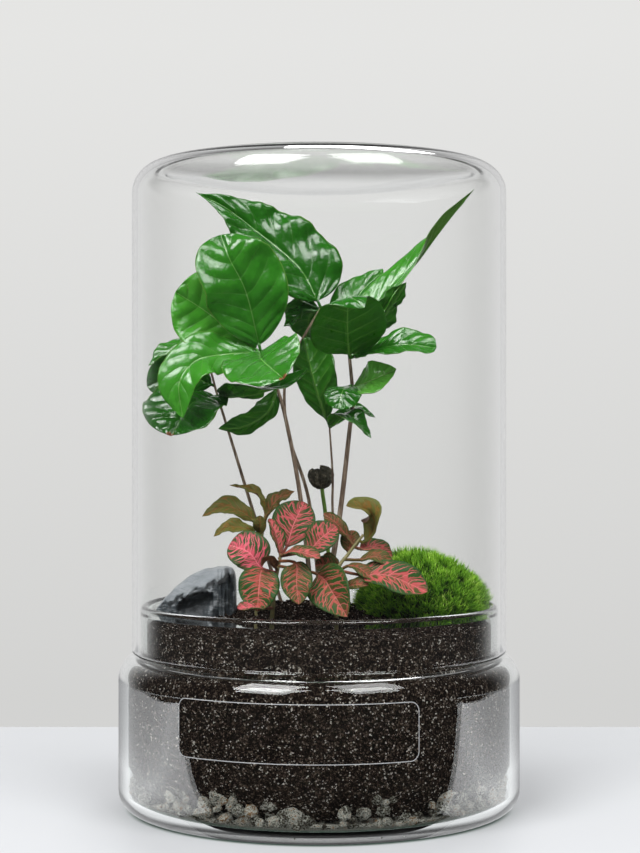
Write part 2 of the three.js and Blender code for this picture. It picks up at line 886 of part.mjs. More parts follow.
function plant({ stem, radius, leaves }) {
  const blades = leaves.map((one) => {
    if (!one.from) return leaf(one);
    const rib = [one.from, ...one.rib];
    const lengths = rib.slice(1).map((p, i) => vector(p).distanceTo(vector(rib[i])));
    const whole = lengths.reduce((sum, length) => sum + length);
    return leaf({ ...FITTONIA, ...one, rib, stem: lengths[0] / whole });
  });
  return fuse([stalk(stem, radius), ...blades]);
}

const SPROUT = {
  radius: 0.9,
  route: [[5.5, 16, 73], [5.5, 16, 85], [3.2, 16, 123], [1.5, 16, 137], [1.4, 16, 141.5]],
};

// The dark coat of the seed, split open at the top, with a socket for the sprout's tip.
function seedCoat() {
  const tip = SPROUT.route.at(-1);
  const coat = reshape(new THREE.IcosahedronGeometry(1, 2), (p) => {
    p.x *= 5.8;
    p.y *= 4.6;
    p.z = (p.z > 0 ? 4.4 : 6.2) * p.z;
  });
  const split = new THREE.BoxGeometry(7, 12, 4).rotateY(0.5).translate(-3.4, 0, 5.2);
  const placed = (geometry) => geometry.translate(tip[0] - 0.6, tip[1], tip[2] + 3.2);
  const socket = new THREE.CylinderGeometry(SPROUT.radius + GAP, SPROUT.radius + GAP, 8, 8)
    .rotateX(Math.PI / 2)
    .translate(tip[0], tip[1], tip[2] + GAP - 4);
  return solid(placed(coat)).subtract(solid(placed(split))).subtract(solid(socket));
}

// Every stem stands in its own hole, a little wider than the stem.
function soilWithHoles() {
  const feet = [
    ...Object.values(plants).map(({ stem, radius }) => ({ foot: stem[0], radius })),
    { foot: SPROUT.route[0], radius: SPROUT.radius },
  ];
  return feet.reduce((ground, { foot, radius }) => {
    const hole = new THREE.CylinderGeometry(radius + GAP, radius + GAP, 2 * HOLE_DEPTH, 8)
      .rotateX(Math.PI / 2)
      .translate(foot[0], foot[1], foot[2] - GAP + HOLE_DEPTH);
    return ground.subtract(solid(hole));
  }, solid(soilGeometry()));
}

// ---------------------------------------------------------------- the terrarium
const terrarium = new THREE.Group();

function add(name, body, colour, roughness, extra = {}) {
  const material = new THREE.MeshStandardMaterial({
    color: colour,
    roughness,
    metalness: 0,
    ...extra,
  });
  const mesh = new THREE.Mesh(geometryOf(body), material);
  mesh.name = name;
  terrarium.add(mesh);
}

const CLEAR = { transparent: true, opacity: 0.25 };
add('glass_jar', solid(turned(jarProfile)), 0xdfe8e4, 0.03, CLEAR);
add('glass_cover', solid(turned(coverProfile)), 0xe4ebe8, 0.03, CLEAR);
add('drainage_gravel', gravel(), 0x9c978c, 0.95);
add('soil', soilWithHoles(), 0x30241d, 0.98);
add('slate_stone', slate(), 0x3a424b, 0.45);
add('moss_cushion', moss(), 0x5f8f22, 0.95);
for (const [name, one] of Object.entries(plants)) add(name, plant(one), one.colour, 0.4);
add('sprout_stem', solid(stalk(SPROUT.route, SPROUT.radius)), 0x6d9a2e, 0.5);
add('sprout_seed', seedCoat(), 0x2a2523, 0.8);

export default terrarium;
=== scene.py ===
"""A glass plant terrarium: a low round jar with gravel, soil, slate, moss and seedlings, under a
tall glass cover. Sizes are in millimetres and become metres where a mesh is made. X is right, Y
goes away from the viewer and Z is up, from the table under the middle of the jar."""

import bpy
import numpy as np
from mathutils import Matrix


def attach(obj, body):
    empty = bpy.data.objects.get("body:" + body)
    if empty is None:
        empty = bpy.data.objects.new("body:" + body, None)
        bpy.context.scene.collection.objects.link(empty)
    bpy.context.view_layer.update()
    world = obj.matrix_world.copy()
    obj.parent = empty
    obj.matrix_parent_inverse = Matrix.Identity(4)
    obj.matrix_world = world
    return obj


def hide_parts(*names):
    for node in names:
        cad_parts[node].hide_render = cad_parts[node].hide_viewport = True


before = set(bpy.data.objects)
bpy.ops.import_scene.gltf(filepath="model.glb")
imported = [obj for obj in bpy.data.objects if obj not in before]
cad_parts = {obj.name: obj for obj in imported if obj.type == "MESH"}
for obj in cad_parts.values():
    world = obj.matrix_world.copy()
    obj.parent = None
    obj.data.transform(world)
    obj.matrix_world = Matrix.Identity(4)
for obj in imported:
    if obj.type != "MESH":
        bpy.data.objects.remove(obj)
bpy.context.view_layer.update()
MM = 0.001

# ---------------------------------------------------------------- camera
# A level camera a little above half height, at the distance that gives the photograph's
# perspective. The colours go to the picture as they are, without a film curve.
CAMERA_AT = (0.4 * MM, -827 * MM, 166.5 * MM)
FOCAL_LENGTH = 79.2  # on a 36 mm sensor along the picture's long side

view_from = bpy.data.cameras.new("view_from")
view_from.lens = FOCAL_LENGTH
view_from.sensor_width = 36
view_from.clip_start = 0.01
camera = bpy.data.objects.new("camera", view_from)
camera.location = CAMERA_AT
camera.rotation_euler = (np.pi / 2, 0, 0)
bpy.context.collection.objects.link(camera)
bpy.context.scene.camera = camera
bpy.context.scene.view_settings.view_transform = "Standard"

# ---------------------------------------------------------------- table, wall and lights
# A white table with its far edge behind the jar, a light grey wall far behind it, and soft
# light from above. Bright sheets just under the table's surface show only as reflections.
TABLE_BACK = 213
TABLE_FRONT = -2500
TABLE_HALF_WIDTH = 2500
FOOT_SHADE = (81, 85.5)  # the table is dark within the first radius and lit beyond the second
FLOOR_GLOW = (74, 79)  # it glows within the first radius and not beyond the second
SHEET_START = (79, 83)  # the sheets begin to shine between these radii
SHEET_FULL = (85, 160)  # and grow brighter between these
SHEET_INSIDE, SHEET_OUTSIDE = 100, 430
SHEET_FAR = 520
LEFT_SHEET_NEAR, MIDDLE_SHEET_NEAR, RIGHT_SHEET_NEAR = -101, -70, -88
SHEET_DEPTH = 0.5


def grid_quads(rows, columns, closed=False):
    """Corner numbers of the four-sided faces between the rows and columns of a grid of points. In
    a closed grid the last column joins the first."""
    row, column = np.meshgrid(
        np.arange(rows - 1),
        np.arange(columns if closed else columns - 1),
        indexing="ij",
    )
    here = row * columns + column
    beside = row * columns + (column + 1) % columns
    return np.stack([here, beside, beside + columns, here + columns], -1).reshape(-1, 4)


def new_mesh(name, points, faces, material, smooth=True):
    """A mesh piece at the origin from points in millimetres and lists of corner numbers."""
    mesh = bpy.data.meshes.new(name)
    in_metres = np.asarray(points, float).reshape(-1, 3) * MM
    mesh.from_pydata(in_metres.tolist(), [], faces)
    mesh.polygons.foreach_set("use_smooth", [smooth] * len(mesh.polygons))
    for one in material if isinstance(material, list) else [material]:
        mesh.materials.append(one)
    made = bpy.data.objects.new(name, mesh)
    bpy.context.collection.objects.link(made)
    return made


def node(tree, kind, inputs=None, **settings):
    """A shader node with its settings, its sockets set to values or linked from other sockets."""
    made = tree.nodes.new(kind)
    for name, value in settings.items():
        setattr(made, name, value)
    for socket, value in (inputs or {}).items():
        if isinstance(value, bpy.types.NodeSocket):
            tree.links.new(value, made.inputs[socket])
        else:
            made.inputs[socket].default_value = value
    return made


def math_of(tree, operation, *values):
    """One step of arithmetic."""
    made = node(tree, "ShaderNodeMath", dict(enumerate(values)), operation=operation)
    return made.outputs[0]


def place_in(tree):
    """Where the shaded point lies on its piece, in metres."""
    return node(tree, "ShaderNodeTexCoord").outputs["Object"]


def between(tree, value, low, high, first=0.0, last=1.0, kind="SMOOTHSTEP"):
    """A value carried from the range low..high to first..last, and held at the ends."""
    made = node(
        tree,
        "ShaderNodeMapRange",
        {"Value": value, "From Min": low, "From Max": high, "To Min": first, "To Max": last},
        interpolation_type=kind,
    )
    return made.outputs[0]


def blend_of(tree, share, first, second, kind="MIX"):
    """Two colours mixed by a share."""
    made = node(
        tree,
        "ShaderNodeMix",
        {0: share, 6: first, 7: second},
        data_type="RGBA",
        blend_type=kind,
    )
    return made.outputs[2]


def finish_of(name, **values):
    """A new material, its node tree and its Principled shader with these values on its sockets."""
    material = bpy.data.materials.new(name)
    material.use_nodes = True
    tree = material.node_tree
    shader = tree.nodes["Principled BSDF"]
    for socket, value in values.items():
        shader.inputs[socket.replace("_", " ")].default_value = value
    return material, tree, shader


def level_sheet(name, low, high, height, material):
    """A flat rectangle from corner `low` to corner `high` at one height, a part of the stage."""
    x, y = np.meshgrid([low[0], high[0]], [low[1], high[1]])
    points = np.stack([x, y, np.full_like(x, height, float)], -1)
    sheet = new_mesh(name, points, grid_quads(2, 2).tolist(), material, smooth=False)
    return sheet


white_top, tree, shader = finish_of("white_table", Roughness=0.5)
from_middle = node(tree, "ShaderNodeVectorMath", {0: place_in(tree)}, operation="LENGTH")
from_middle = math_of(tree, "DIVIDE", from_middle.outputs["Value"], MM)
# No light comes under the jar's foot, so the table is dark there.
lit_share = between(tree, from_middle, *FOOT_SHADE, 0.04)
shaded = blend_of(tree, lit_share, (0.012, 0.045, 0.028, 1), (0.56, 0.57, 0.59, 1))
tree.links.new(shaded, shader.inputs["Base Color"])
# Light that the jar's thick floor carries under itself shows as a pale band above the foot.
under_floor = between(tree, from_middle, *FLOOR_GLOW, 0.1, 0.0, "LINEAR")
tree.links.new(under_floor, shader.inputs["Emission Strength"])
shader.inputs["Emission Color"].default_value = (1, 0.93, 0.85, 1)
# Reflections don't see the table itself, only the bright sheets under its surface.
ray = node(tree, "ShaderNodeLightPath").outputs
once = math_of(tree, "MINIMUM", ray["Glossy Depth"], 1.0)
open_part = node(tree, "ShaderNodeBsdfTransparent")
either = node(
    tree,
    "ShaderNodeMixShader",
    {
        0: math_of(tree, "GREATER_THAN", once, ray["Is Diffuse Ray"]),
        1: shader.outputs[0],
        2: open_part.outputs[0],
    },
)
tree.links.new(either.outputs[0], tree.nodes["Material Output"].inputs["Surface"])
level_sheet(
    "table_top",
    (-TABLE_HALF_WIDTH, TABLE_FRONT),
    (TABLE_HALF_WIDTH, TABLE_BACK),
    0,
    white_top,
)

# The sheets are brightest straight to the left and right of the jar, fade behind it, and are
# dimmer close to the jar's foot.
sheet_glow = bpy.data.materials.new("sheet_glow")
sheet_glow.use_nodes = True
tree = sheet_glow.node_tree
tree.nodes.clear()
place = place_in(tree)
parts = node(tree, "ShaderNodeSeparateXYZ", {0: place})
aside = math_of(tree, "MAXIMUM", math_of(tree, "ABSOLUTE", parts.outputs["X"]), 0.01)
slope = math_of(tree, "DIVIDE", parts.outputs["Y"], aside)
fall = math_of(tree, "POWER", 2.718, math_of(tree, "MULTIPLY_ADD", slope, -2.8, -0.28))
strength = math_of(tree, "MULTIPLY_ADD", math_of(tree, "MINIMUM", fall, 1.1), 2.2, 0.4)
from_middle = node(tree, "ShaderNodeVectorMath", {0: place}, operation="LENGTH")
from_middle = math_of(tree, "DIVIDE", from_middle.outputs["Value"], MM)
beside_jar = between(tree, from_middle, *SHEET_START, 0.0, 0.2, "LINEAR")
clear_of_jar = between(tree, from_middle, *SHEET_FULL, 0.08, 0.8, "LINEAR")
share = math_of(tree, "ADD", beside_jar, clear_of_jar)
strength = math_of(tree, "MULTIPLY", strength, share)
lit = node(tree, "ShaderNodeEmission", {"Color": (0.97, 0.98, 1, 1), "Strength": strength})
# They show only in reflections that reach them through no more than the table's surface, so not
# in the leaves inside the glass.
unseen = node(tree, "ShaderNodeBsdfTransparent")
ray = node(tree, "ShaderNodeLightPath").outputs
direct = math_of(tree, "LESS_THAN", ray["Transparent Depth"], 1.5)
seen = math_of(tree, "MULTIPLY", math_of(tree, "MINIMUM", ray["Glossy Depth"], 1.0), direct)
shown = node(tree, "ShaderNodeMixShader", {0: seen, 1: unseen.outputs[0], 2: lit.outputs[0]})
node(tree, "ShaderNodeOutputMaterial", {"Surface": shown.outputs[0]})
SHEETS = {
    "left_sheet": ((-SHEET_OUTSIDE, LEFT_SHEET_NEAR), (-SHEET_INSIDE, SHEET_FAR)),
    "right_sheet": ((SHEET_INSIDE, RIGHT_SHEET_NEAR), (SHEET_OUTSIDE, SHEET_FAR)),
    "middle_sheet": ((-SHEET_INSIDE, MIDDLE_SHEET_NEAR), (SHEET_INSIDE, SHEET_FAR)),
}
for name, (near_left, far_right) in SHEETS.items():
    sheet = level_sheet(name, near_left, far_right, -SHEET_DEPTH, sheet_glow)
    sheet.visible_camera = False
    sheet.visible_diffuse = False
    sheet.visible_shadow = False


def softbox(name, at, aim, size, power):
    """A rectangular lamp of `size` millimetres at a place, turned to the place it lights."""
    lamp = bpy.data.lights.new(name, "AREA")
    lamp.shape = "RECTANGLE"
    lamp.size = size[0] * MM
    lamp.size_y = size[1] * MM
    lamp.energy = power
    made = bpy.data.objects.new(name, lamp)
    made.location = np.array(at) * MM
    way = made.location - type(made.location)(np.array(aim) * MM)
    made.rotation_euler = way.to_track_quat("Z", "Y").to_euler()
    made.visible_camera = False
    bpy.context.collection.objects.link(made)
    return made


softbox("lamp_left", (-640, -770, 1450), (0, 0, 100), (800, 900), 25)
softbox("lamp_right", (600, -690, 1500), (0, 0, 100), (780, 850), 15)
lamp_behind = softbox("lamp_behind", (200, 900, 1500), (0, 0, 120), (700, 450), 7)
lamp_behind.visible_glossy = False

# The wall: grey that grows lighter upwards. In reflections the room in front is darker than
# the wall, and nothing shines from below.
world = bpy.data.worlds.new("studio")
bpy.context.scene.world = world
world.use_nodes = True
tree = world.node_tree
tree.nodes.clear()
ray = node(tree, "ShaderNodeLightPath")
way = node(tree, "ShaderNodeTexCoord")
parts = node(tree, "ShaderNodeSeparateXYZ", {0: way.outputs["Generated"]})
wall = between(tree, parts.outputs["Z"], -0.14, 0.2, 0.65, 0.785, "LINEAR")
wall_tone = blend_of(tree, 1.0, wall, (1.0, 1.0, 0.985, 1), "MULTIPLY")
room = between(tree, parts.outputs["Y"], 0.4, 0.98, 0.035, 0.72)
above = between(tree, parts.outputs["Z"], -0.3, -0.15, 0.05, 1.0, "LINEAR")
mirrored = math_of(tree, "MULTIPLY", room, above)
# A ray is a reflection once it has been mirrored, also where it has left the glass since.
mirrors = math_of(tree, "MINIMUM", ray.outputs["Glossy Depth"], 1.0)
reflected = math_of(tree, "GREATER_THAN", mirrors, ray.outputs["Is Diffuse Ray"])
choice = blend_of(tree, reflected, wall_tone, mirrored)
# Scattered light from the walls is weaker than the walls look, so that the lamps shape the leaves.
# The cover takes a little more light from what stands behind it than real glass, so the wall
# seen through its four surfaces is made lighter again.
through_glass = math_of(tree, "MINIMUM", ray.outputs["Transmission Depth"], 4.0)
clear_tone = math_of(tree, "MULTIPLY_ADD", through_glass, 0.025, 1.0)
fill = math_of(tree, "MULTIPLY_ADD", ray.outputs["Is Diffuse Ray"], -0.5, clear_tone)
sky = node(tree, "ShaderNodeBackground", {"Color": choice, "Strength": fill})
node(tree, "ShaderNodeOutputWorld", {"Surface": sky.outputs[0]})

# ---------------------------------------------------------------- glass jar
# A low round jar of clear glass, blown in a mould: a thick floor with a rounded foot, straight
# sides, a round shoulder, and a neck that ends in a rolled rim.
JAR_RADIUS = 87.9
JAR_WALL = 4
JAR_FLOOR = 4.5
FOOT_ROUNDING = 8.5
SIDE_TOP = 56.5
SHOULDER_ROUNDING = 11.5
SHOULDER_END = 76  # degrees of its rounding, where the neck begins
NECK_FILLET = 2.2
NECK_RADIUS = 78.4
NECK_WALL = 2.6
RIM_TOP = 89
RIM_BEAD = 3.6
GLASS_FACETS = 192


def arc(radius_at, height_at, radius, start, end, steps):
    """Points of a round stretch of a profile, from one angle to another in degrees."""
    angle = np.radians(np.linspace(start, end, steps + 1))
    return np.stack([radius_at + radius * np.cos(angle), height_at + radius * np.sin(angle)], 1)


def steadied(profile):
    """The profile with one more point 0.4 mm in from each end of every stretch longer than 3 mm,
    so that the shading of the straight part stays straight."""
    profile = np.asarray(profile, float)
    start, step = profile[:-1], np.diff(profile, axis=0)
    length = np.linalg.norm(step, axis=1, keepdims=True)
    inset = step * 0.4 / np.maximum(length, 1e-6)
    rows = np.stack([start, start + inset, start + step - inset], 1).reshape(-1, 2)
    keep = np.hstack([length > -1, length > 3, length > 3]).ravel()
    return np.vstack([rows[keep], profile[-1:]])


def turned(profile, facets):
    """Points and faces of a profile of (radius, height) turned about the Z axis: a point at angle a
    is (radius cos a, radius sin a, height). The profile starts and ends on the axis, and its two
    end points become the poles."""
    profile = np.asarray(profile, float)
    ring = profile[1:-1]
    angle = 2 * np.pi * np.arange(facets) / facets
    points = np.stack(
        [
            ring[:, :1] * np.cos(angle),
            ring[:, :1] * np.sin(angle),
            np.repeat(ring[:, 1:], facets, 1),
        ],
        -1,
    ).reshape(-1, 3)
    faces = grid_quads(len(ring), facets, closed=True).tolist()
    start, end = len(points), len(points) + 1
    here = np.arange(facets)
    beside = (here + 1) % facets
    last = (len(ring) - 1) * facets
    faces += np.stack([np.full(facets, start), beside, here], 1).tolist()
    faces += np.stack([np.full(facets, end), last + here, last + beside], 1).tolist()
    poles = [(0, 0, profile[0, 1]), (0, 0, profile[-1, 1])]
    return np.vstack([points, poles]), faces


def clear_glass(name, tint):
    """Clear glass. It bends and mirrors what the camera sees, and lets three kinds of light
    straight through to what it holds: lamps, scattered light, and a reflection that comes from
    outside the glass itself, which is so where a ray has gone into and out of glass equally
    often."""
    material, tree, shader = finish_of(name, Roughness=0.0, IOR=1.5)
    shader.inputs["Base Color"].default_value = tint
    shader.inputs["Transmission Weight"].default_value = 1.0
    ray = node(tree, "ShaderNodeLightPath").outputs
    inside = math_of(tree, "MODULO", ray["Transmission Depth"], 2.0)
    bent_or_inside = math_of(tree, "MAXIMUM", ray["Is Transmission Ray"], inside)
    mirrored = math_of(tree, "GREATER_THAN", ray["Is Glossy Ray"], bent_or_inside)
    scattered = math_of(tree, "MAXIMUM", ray["Is Shadow Ray"], ray["Is Diffuse Ray"])
    straight = math_of(tree, "MAXIMUM", scattered, mirrored)
    passing = node(tree, "ShaderNodeBsdfTransparent", {"Color": tint})
    either = node(
        tree,
        "ShaderNodeMixShader",
        {0: straight, 1: shader.outputs[0], 2: passing.outputs[0]},
    )
    tree.links.new(either.outputs[0], tree.nodes["Material Output"].inputs["Surface"])
    return material


shoulder_at = JAR_RADIUS - SHOULDER_ROUNDING
foot_at = JAR_RADIUS - FOOT_ROUNDING
inner_foot = FOOT_ROUNDING - JAR_WALL
fillet_at = SIDE_TOP + SHOULDER_ROUNDING + 1.6
jar_profile = np.vstack(
    [
        [(0, 0)],
        arc(foot_at, FOOT_ROUNDING, FOOT_ROUNDING, -90, 0, 14),
        arc(shoulder_at, SIDE_TOP, SHOULDER_ROUNDING, 0, SHOULDER_END, 14),
        arc(NECK_RADIUS + NECK_FILLET, fillet_at, NECK_FILLET, 245, 180, 5),
        [(NECK_RADIUS, RIM_TOP - RIM_BEAD)],
        arc(NECK_RADIUS - RIM_BEAD / 2, RIM_TOP - RIM_BEAD / 2, RIM_BEAD / 2, 0, 180, 14),
        [(NECK_RADIUS - NECK_WALL, RIM_TOP - RIM_BEAD)],
        [(NECK_RADIUS - NECK_WALL, SIDE_TOP + SHOULDER_ROUNDING)],
        arc(shoulder_at, SIDE_TOP, SHOULDER_ROUNDING - JAR_WALL, SHOULDER_END, 0, 10),
        arc(foot_at, JAR_FLOOR + inner_foot, inner_foot, 0, -90, 8),
        [(0, JAR_FLOOR)],
    ]
)
jar_glass = clear_glass("jar_glass", (0.965, 0.985, 0.975, 1))
jar = new_mesh("jar", *turned(steadied(jar_profile), GLASS_FACETS), jar_glass)
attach(jar, "root")
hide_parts("glass_jar")

# ---------------------------------------------------------------- clear label
# A bare clear plastic film with rounded corners, stuck to the front of the jar. Its edge shows
# as a thin pale line: a painted highlight.
LABEL_LOW, LABEL_HIGH = 33, 57
LABEL_LEFT, LABEL_RIGHT = np.radians(-40.3), np.radians(27.1)
LABEL_CORNER = 4
LABEL_CORNER_STEPS, LABEL_EDGE_STEPS, LABEL_RINGS = 9, 40, 20
LABEL_AT = JAR_RADIUS + 0.03
LABEL_THICKNESS = 0.06

label_middle = (LABEL_LEFT + LABEL_RIGHT) / 2
label_half = np.array([(LABEL_RIGHT - LABEL_LEFT) * LABEL_AT, LABEL_HIGH - LABEL_LOW]) / 2
# Rounded rectangles one inside the other, from the middle out to the edge. Each outline runs
# round four corners and four straight edges. A point on it is its place on the straight part
# plus a turn at the corner radius less the outline's way in from the edge.
quarters = np.array([(1, 1), (-1, 1), (-1, -1), (1, -1)])
straight, turn = [], []
for k, quarter in enumerate(quarters):
    spin = np.radians(np.linspace(90 * k, 90 * k + 90, LABEL_CORNER_STEPS))
    corner = np.stack([np.cos(spin), np.sin(spin)], 1)
    part = np.linspace(0, 1, LABEL_EDGE_STEPS + 2)[1:-1, None]
    along_edge = quarter + (quarters[(k + 1) % 4] - quarter) * part
    straight += [np.repeat(quarter[None], LABEL_CORNER_STEPS, 0), along_edge]
    turn += [corner, np.repeat(corner[-1:], LABEL_EDGE_STEPS, 0)]
straight, turn = np.concatenate(straight), np.concatenate(turn)
share = np.append(np.linspace(0.04, 1, LABEL_RINGS), [1.0, 1.0, 1.0])
inward = np.append(np.full(LABEL_RINGS, 1.5), [0.4, 0.3, 0.0])
turned_in = turn[None] * (LABEL_CORNER - inward)[:, None, None]
label_flat = (straight * (label_half - LABEL_CORNER) + turned_in) * share[:, None, None]


def on_jar(flat, radius):
    """Places of points (along, up) on the jar's side: the angle is the length over the radius."""
    angle = label_middle + flat[..., 0] / LABEL_AT
    return np.stack(
        [
            radius * np.sin(angle),
            -radius * np.cos(angle),
            (LABEL_LOW + LABEL_HIGH) / 2 + flat[..., 1],
        ],
        -1,
    )


def point_value(piece, name, values):
    """Stores one number per point under a name that the piece's material reads."""
    made = piece.data.attributes.new(name, "FLOAT", "POINT")
    made.data.foreach_set("value", np.asarray(values, float).ravel())


def attribute(tree, name):
    """The number that a piece's points carry under this name."""
    return node(tree, "ShaderNodeAttribute", attribute_name=name).outputs["Fac"]


label_rings, label_steps = label_flat.shape[:2]
label_face = grid_quads(label_rings, label_steps, closed=True)
label_count = label_rings * label_steps
label_rim = (label_rings - 1) * label_steps + np.arange(label_steps)
beyond = np.roll(label_rim, -1)
label_side = np.stack([beyond, beyond + label_count, label_rim + label_count, label_rim], 1)
label_faces = (
    label_face.tolist()
    + (label_face[:, ::-1] + label_count).tolist()
    + [np.arange(label_steps)[::-1].tolist()]
    + [(np.arange(label_steps) + label_count).tolist()]
    + label_side.tolist()
)
film, tree, shader = finish_of("clear_film", Roughness=0.35, IOR=1.3)
shader.inputs["Base Color"].default_value = (0.92, 0.94, 0.96, 1)
# The film is clear but for its edge, drawn as a thin pale line: a painted highlight.
pale = between(tree, attribute(tree, "film_edge_highlight"), 0.0, 1.0, 0.0, 0.28, "LINEAR")
tree.links.new(pale, shader.inputs["Alpha"])
label = new_mesh(
    "label_film",
    np.concatenate(
        [
            on_jar(label_flat, LABEL_AT).reshape(-1, 3),
            on_jar(label_flat, LABEL_AT + LABEL_THICKNESS).reshape(-1, 3),
        ]
    ),
    label_faces,
    film,
)
edge_share = np.repeat((inward < 0.35).astype(float), label_steps)
point_value(label, "film_edge_highlight", np.tile(edge_share, 2))
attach(label, "root")

# ---------------------------------------------------------------- drainage gravel
# Pumice and other porous stones, up to 10 mm across, poured in for drainage. Soil has run down
# between them, so dark gaps show between pale stones along the glass.
GAP = 0.3
GRAVEL_BED_TOP = 8
GRAVEL_BED_RADIUS = 77.5
GRAVEL_BED_EDGE = 1.5
STONE_COUNT = 900
FLOOR_STONES = 400  # the first ones are small and lie on the glass floor
STONE_SIZE = (1.4, 4.8)
FLOOR_STONE_SIZE = (1.0, 2.4)
GRAVEL_TOP = 19
STONE_ROWS, STONE_COLUMNS = 6, 9

jar_inside = JAR_RADIUS - JAR_WALL - GAP
random = np.random.default_rng(11)


def lumps(centres, sizes, rows, columns, roughness):
    """Points and faces of many small stones. Each one is a ball of `rows` rings between two flat
    caps, stretched and turned at random, with every corner moved in or out by up to `roughness`
    of its radius. Its draws come from the seeded `random`."""
    count = len(centres)
    lift = np.radians(np.linspace(-68, 68, rows))[:, None]
    spin = 2 * np.pi * np.arange(columns) / columns
    ball = np.stack(
        [
            np.cos(lift) * np.cos(spin),
            np.cos(lift) * np.sin(spin),
            np.repeat(np.sin(lift), columns, 1),
        ],
        -1,
    ).reshape(-1, 3)
    swell = 1 + roughness * random.uniform(-1, 1, (count, len(ball), 1))
    stretch = random.uniform(0.7, 1.15, (count, 1, 3))
    turn = np.linalg.qr(random.normal(size=(count, 3, 3)))[0]
    turn *= np.sign(np.linalg.det(turn))[:, None, None]
    shaped = ball * swell * stretch * np.asarray(sizes)[:, None, None]
    points = np.einsum("nij,nkj->nki", turn, shaped) + np.asarray(centres)[:, None]
    start = len(ball) * np.arange(count)[:, None, None]
    quads = (grid_quads(rows, columns, closed=True)[None] + start).reshape(-1, 4)
    caps = np.stack([np.arange(columns)[::-1], (rows - 1) * columns + np.arange(columns)])
    caps = (caps[None] + start).reshape(-1, columns)
    return points.reshape(-1, 3), quads.tolist() + caps.tolist()


def noise(tree, place, scale, detail=4.0, roughness=0.6):
    """Fractal noise at a place, with its scale per metre."""
    return node(
        tree,
        "ShaderNodeTexNoise",
        {"Vector": place, "Scale": scale, "Detail": detail, "Roughness": roughness},
    )


def ramp(tree, value, stops):
    """Colours between the given (share, colour) stops."""
    made = node(tree, "ShaderNodeValToRGB", {"Fac": value})
    elements = made.color_ramp.elements
    for k, (share, colour) in enumerate(stops):
        one = elements[k] if k < 2 else elements.new(share)
        one.position = share
        one.color = (*colour, 1)
    return made.outputs["Color"]


def bump(tree, shader, height, strength, distance):
    """Raises the shading by a height, `distance` millimetres at full height."""
    made = node(
        tree,
        "ShaderNodeBump",
        {"Height": height, "Strength": strength, "Distance": distance * MM},
    )
    tree.links.new(made.outputs["Normal"], shader.inputs["Normal"])


pumice, tree, shader = finish_of("pumice", Roughness=0.9, Specular_IOR_Level=0.2)
place = place_in(tree)
tone = attribute(tree, "stone_tone")
grain = noise(tree, place, 800, 6.0, 0.8).outputs["Fac"]
pores = node(tree, "ShaderNodeTexVoronoi", {"Vector": place, "Scale": 1300.0})
pitted = math_of(tree, "MULTIPLY_ADD", pores.outputs["Distance"], 0.5, grain)
shade = math_of(tree, "MULTIPLY_ADD", tone, 0.5, -0.88)
scaled = math_of(tree, "MULTIPLY_ADD", pitted, 1.6, shade)
tree.links.new(
    ramp(
        tree,
        scaled,
        [
            (0.22, (0.016, 0.012, 0.009)),
            (0.42, (0.085, 0.072, 0.055)),
            (0.58, (0.23, 0.22, 0.19)),
            (0.74, (0.5, 0.49, 0.45)),
            (1.0, (0.2, 0.11, 0.05)),
        ],
    ),
    shader.inputs["Base Color"],
)
bump(tree, shader, pitted, 1.0, 1.5)

# The layer is lower in the middle of the front, and rises and falls nine times round.
angle = random.uniform(0, 2 * np.pi, STONE_COUNT)
heap = GRAVEL_TOP - 8 * np.exp(-(((angle - np.pi) / 0.28) ** 2)) + 3 * np.sin(9 * angle + 1)
height = JAR_FLOOR + 1.5 + (heap - JAR_FLOOR) * random.uniform(0, 1, STONE_COUNT) ** 1.3
size = random.uniform(*STONE_SIZE, STONE_COUNT)
height[:FLOOR_STONES] = JAR_FLOOR
size[:FLOOR_STONES] = random.uniform(*FLOOR_STONE_SIZE, FLOOR_STONES)
# Most stones lie against the glass, which turns in by 4 mm towards the floor.
reach = np.minimum(jar_inside, jar_inside - 4 * (1 - (height - JAR_FLOOR) / 4.5).clip(0, 1))
radius = reach - size * 1.05 - 13 * random.uniform(0, 1, STONE_COUNT) ** 2.5
height = np.maximum(height, JAR_FLOOR + GAP + size)
stones_at = np.stack([radius * np.sin(angle), radius * np.cos(angle), height], 1)
stone_points, stone_faces = lumps(stones_at, size, STONE_ROWS, STONE_COLUMNS, 0.16)
stone_tones = np.repeat(random.uniform(0.0, 1.05, STONE_COUNT), STONE_ROWS * STONE_COLUMNS)
# Behind the stones at the glass the rest of the layer is a plain bed. Only its underside shows,
# through the jar's floor.
bed_low = JAR_FLOOR + GAP
bed_profile = [
    (0, bed_low),
    (GRAVEL_BED_RADIUS, bed_low),
    (GRAVEL_BED_RADIUS + GRAVEL_BED_EDGE, bed_low + GRAVEL_BED_EDGE),
    (GRAVEL_BED_RADIUS + GRAVEL_BED_EDGE, GRAVEL_BED_TOP),
    (0, GRAVEL_BED_TOP),
]
bed_points, bed_faces = turned(bed_profile, GLASS_FACETS)
bed_faces = [[corner + len(stone_points) for corner in face] for face in bed_faces]
stones = new_mesh(
    "gravel_stones",
    np.vstack([stone_points, bed_points]),
    stone_faces + bed_faces,
    pumice,
    smooth=False,
)
point_value(stones, "stone_tone", np.append(stone_tones, np.full(len(bed_points), 0.6)))
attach(stones, "root")
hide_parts("drainage_gravel")

# ---------------------------------------------------------------- soil
# Dark potting soil of peat, bark and perlite dust, filled in to just below the rim and a little
# higher in the middle. Loose crumbs lie on it.
SOIL_BOTTOM = GRAVEL_BED_TOP + 0.2
SOIL_EDGE = 80.5
SOIL_CROWN = 4.5
STEM_HEAP = 4.0
CRUMB_COUNT = 3200
CRUMB_SIZE = (0.35, 1.3)

neck_inside = NECK_RADIUS - NECK_WALL - GAP


